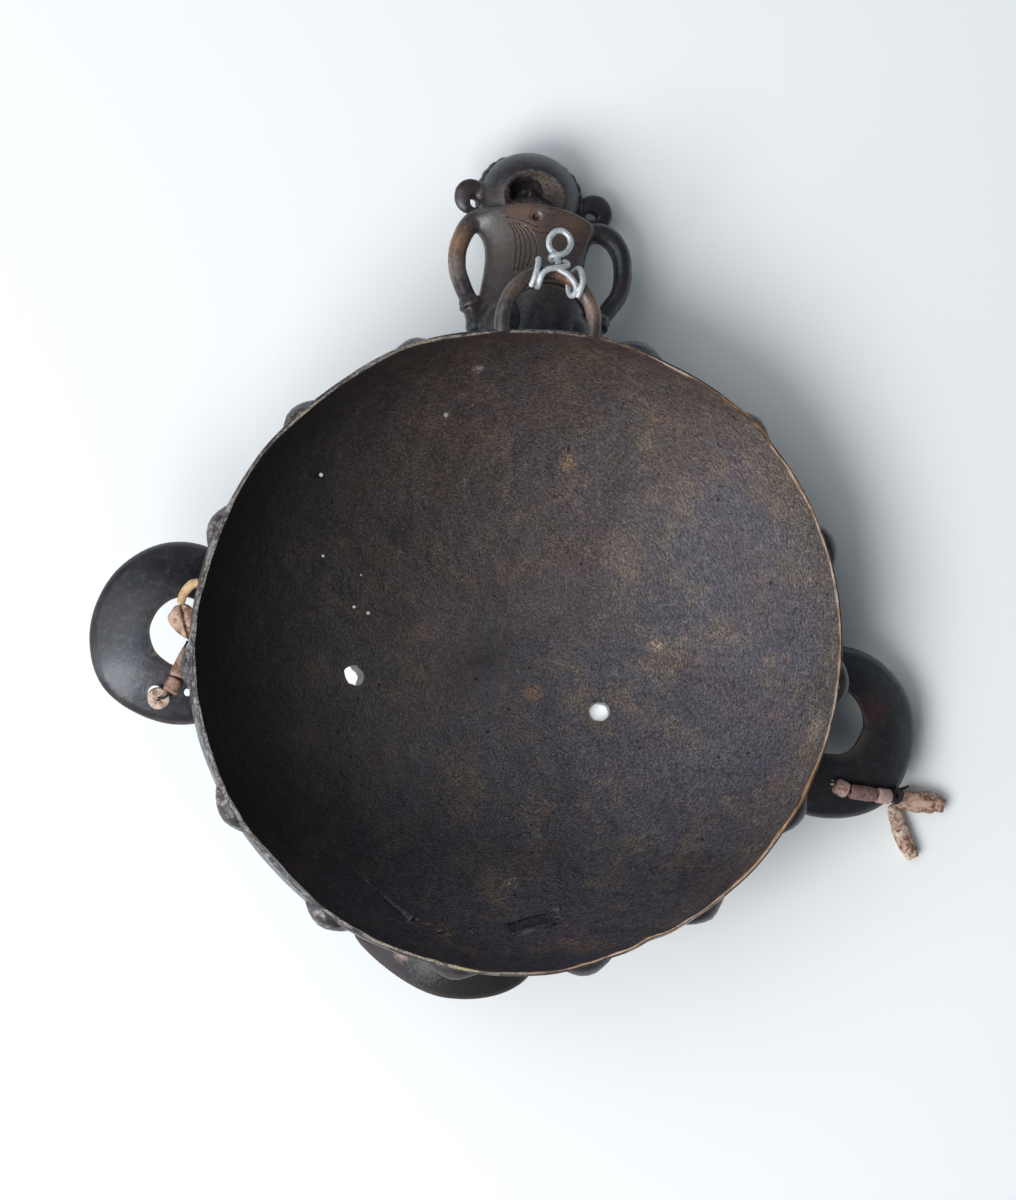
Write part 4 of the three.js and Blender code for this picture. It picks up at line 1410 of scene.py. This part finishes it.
# The seam's two ends and its radius along the way
FIN_START = (-46.3, -109.6)
FIN_RUN = (22.5, -15.4)
FIN_RADII = [0.3, 0.5, 0.7, 0.9, 1.2, 1.5, 1.6, 1.9, 2.2]


def pore(x, y, radius):
    """A pin hole in the hollow's floor, drilled along the line of sight."""
    here = Vector((x, y, inner_z(x, y)))
    way = (EYE_POINT - here).normalized()
    return placed(peg(radius, 14, 10), pointed(here - way * 1.5, here + way))


def on_wall(piece, x, y):
    """Lays a piece on the hollow's wall, turned as the face outside it."""
    there = face_frame(x, y)
    placed(piece, there)
    return placed(piece, Matrix.Translation(Vector((x, y, inner_z(x, y))) - there.to_translation()))


def crumb(x, y, size, turn, seed):
    piece = ball((0, 0, 0), size, (0, 0, math.radians(turn)), segments=16, rings=10)
    return on_wall(roughened(piece, 2.5, 0.7, seed), x, y)


def fin():
    """A thin seam of metal down the hollow's lower left, ending in a stub."""
    points = []
    for i in range(len(FIN_RADII)):
        share = i / (len(FIN_RADII) - 1)
        x, y = (start + run * share for start, run in zip(FIN_START, FIN_RUN))
        points.append((x, y, inner_z(x, y) + 0.2))
    return roughened(rod(points, FIN_RADII, section=3, steps=3), 4, 0.6, 8)


def worn_flat(piece):
    """Wears flat what would reach below the floor at rest."""
    ground = REST.inverted() @ Matrix.Translation((0, 0, -0.05))
    bpy.ops.mesh.primitive_cube_add(size=1)
    return pierced(piece, placed(made((0.7, 0.7, 0.1)), Matrix.Scale(1 / MM, 4) @ ground))


def without_loose_bits(piece):
    """Takes away what the cuts left loose: all but the one big skin."""
    only(piece)
    bpy.ops.object.mode_set(mode="EDIT")
    bpy.ops.mesh.select_mode(type="VERT")
    bpy.ops.mesh.select_all(action="DESELECT")
    bpy.ops.object.mode_set(mode="OBJECT")
    max(piece.data.vertices, key=lambda corner: corner.co.y).select = True
    bpy.ops.object.mode_set(mode="EDIT")
    bpy.ops.mesh.select_linked()
    bpy.ops.mesh.select_all(action="INVERT")
    bpy.ops.mesh.delete(type="VERT")
    bpy.ops.object.mode_set(mode="OBJECT")
    return piece


def mask_casting():
    mask = solid_bowl()
    relief = joined([*nose(), *eye(-1), *eye(1), brow(-1), brow(1), *headband(), *teeth()])
    remelted(relief, 1.45, 2)
    fused(mask, *(boss(i) for i in range(-6, 8)), ear("left"), ear("right"))
    fused(mask, suspension_ring(), lip(), relief, crest_figure())
    pierced(mask, hollow())
    fused(mask, fin(), *(crumb(*facts, seed) for seed, facts in enumerate(CRUMBS, 30)))
    pierced(mask, eye_hole(-1), eye_hole(1), on_wall(block(SLOT_SIZE, SLOT_TURN), *SLOT_PLACE))
    pierced(mask, *(drill(*facts) for facts in EAR_PIERCINGS))
    pierced(mask, *(pore(*facts) for facts in PORES))
    faced(without_loose_bits(worn_flat(mask)))
    return on_floor(mask, "bronze_mask", "mask_casting", smooth=50)


# The wire

# One wire makes the eye, its stem and the knob below it. Two more hang it on the ring.
EYE_WIRE = (
    (-7.1, 179.4, -3.5), (-8.4, 180, -3), (-8.8, 181, -2), (-7, 181.9, -0.8), (-3.5, 183.3, -1),
    (-0.8, 186.6, -2.5), (-0.2, 190.2, -4), (-2.5, 193.5, -4.5), (-5.8, 194.4, -4.8), (-9, 192.2, -4.8),
    (-10.2, 188.2, -4.6), (-8.9, 184.8, -4.2), (-6.2, 182.9, -3.8), (-5.6, 180.7, -2), (-6.2, 176.7, 2.2),
)
LEFT_WIRE = (
    (-2.9, 179.8, -1.4), (-1.5, 178.8, 0.3), (-2.2, 177, 2.5), (-5.3, 175.7, 4.4), (-8.5, 174.7, 4.8),
    (-11.3, 173.5, 4.8), (-13.1, 171.4, 4.6), (-13.8, 168.6, 3.6), (-13.6, 166.6, 1.2), (-13.2, 166.8, -3.2),
    (-12.5, 170.8, -6.2), (-13.1, 176.1, -6), (-14.2, 178.6, -3.4), (-14.9, 178.6, -0.4), (-15.4, 175.6, 2.6),
    (-16.1, 171.4, 3.9), (-16.7, 167.9, 3.4), (-17.2, 165.4, 1.6),
)
RIGHT_WIRE = (
    (-6.3, 174.8, 4.4), (-3, 173.5, 4.8), (0.2, 171.6, 4.8), (2.7, 168.9, 4.2), (3.8, 166.4, 2),
    (3.2, 164.8, -0.8), (2.2, 166.6, -4.2), (1.8, 170.2, -6), (2.4, 174.8, -6.2), (3.6, 177.3, -4.2),
    (4.6, 177.6, -0.8), (5.3, 174.6, 2.8), (5.8, 171.2, 4.2), (5.3, 166.8, 4), (4.5, 163.8, 2.6),
)


def hanging_wire():
    whole = joined([rod(points, WIRE_RADIUS) for points in (EYE_WIRE, LEFT_WIRE, RIGHT_WIRE)])
    return on_floor(remelted(whole, 0.3, 2), "twisted_wire", "hanging_wire", WIRE)


photo_camera()
studio()
strings()
mask_casting()
hanging_wire()
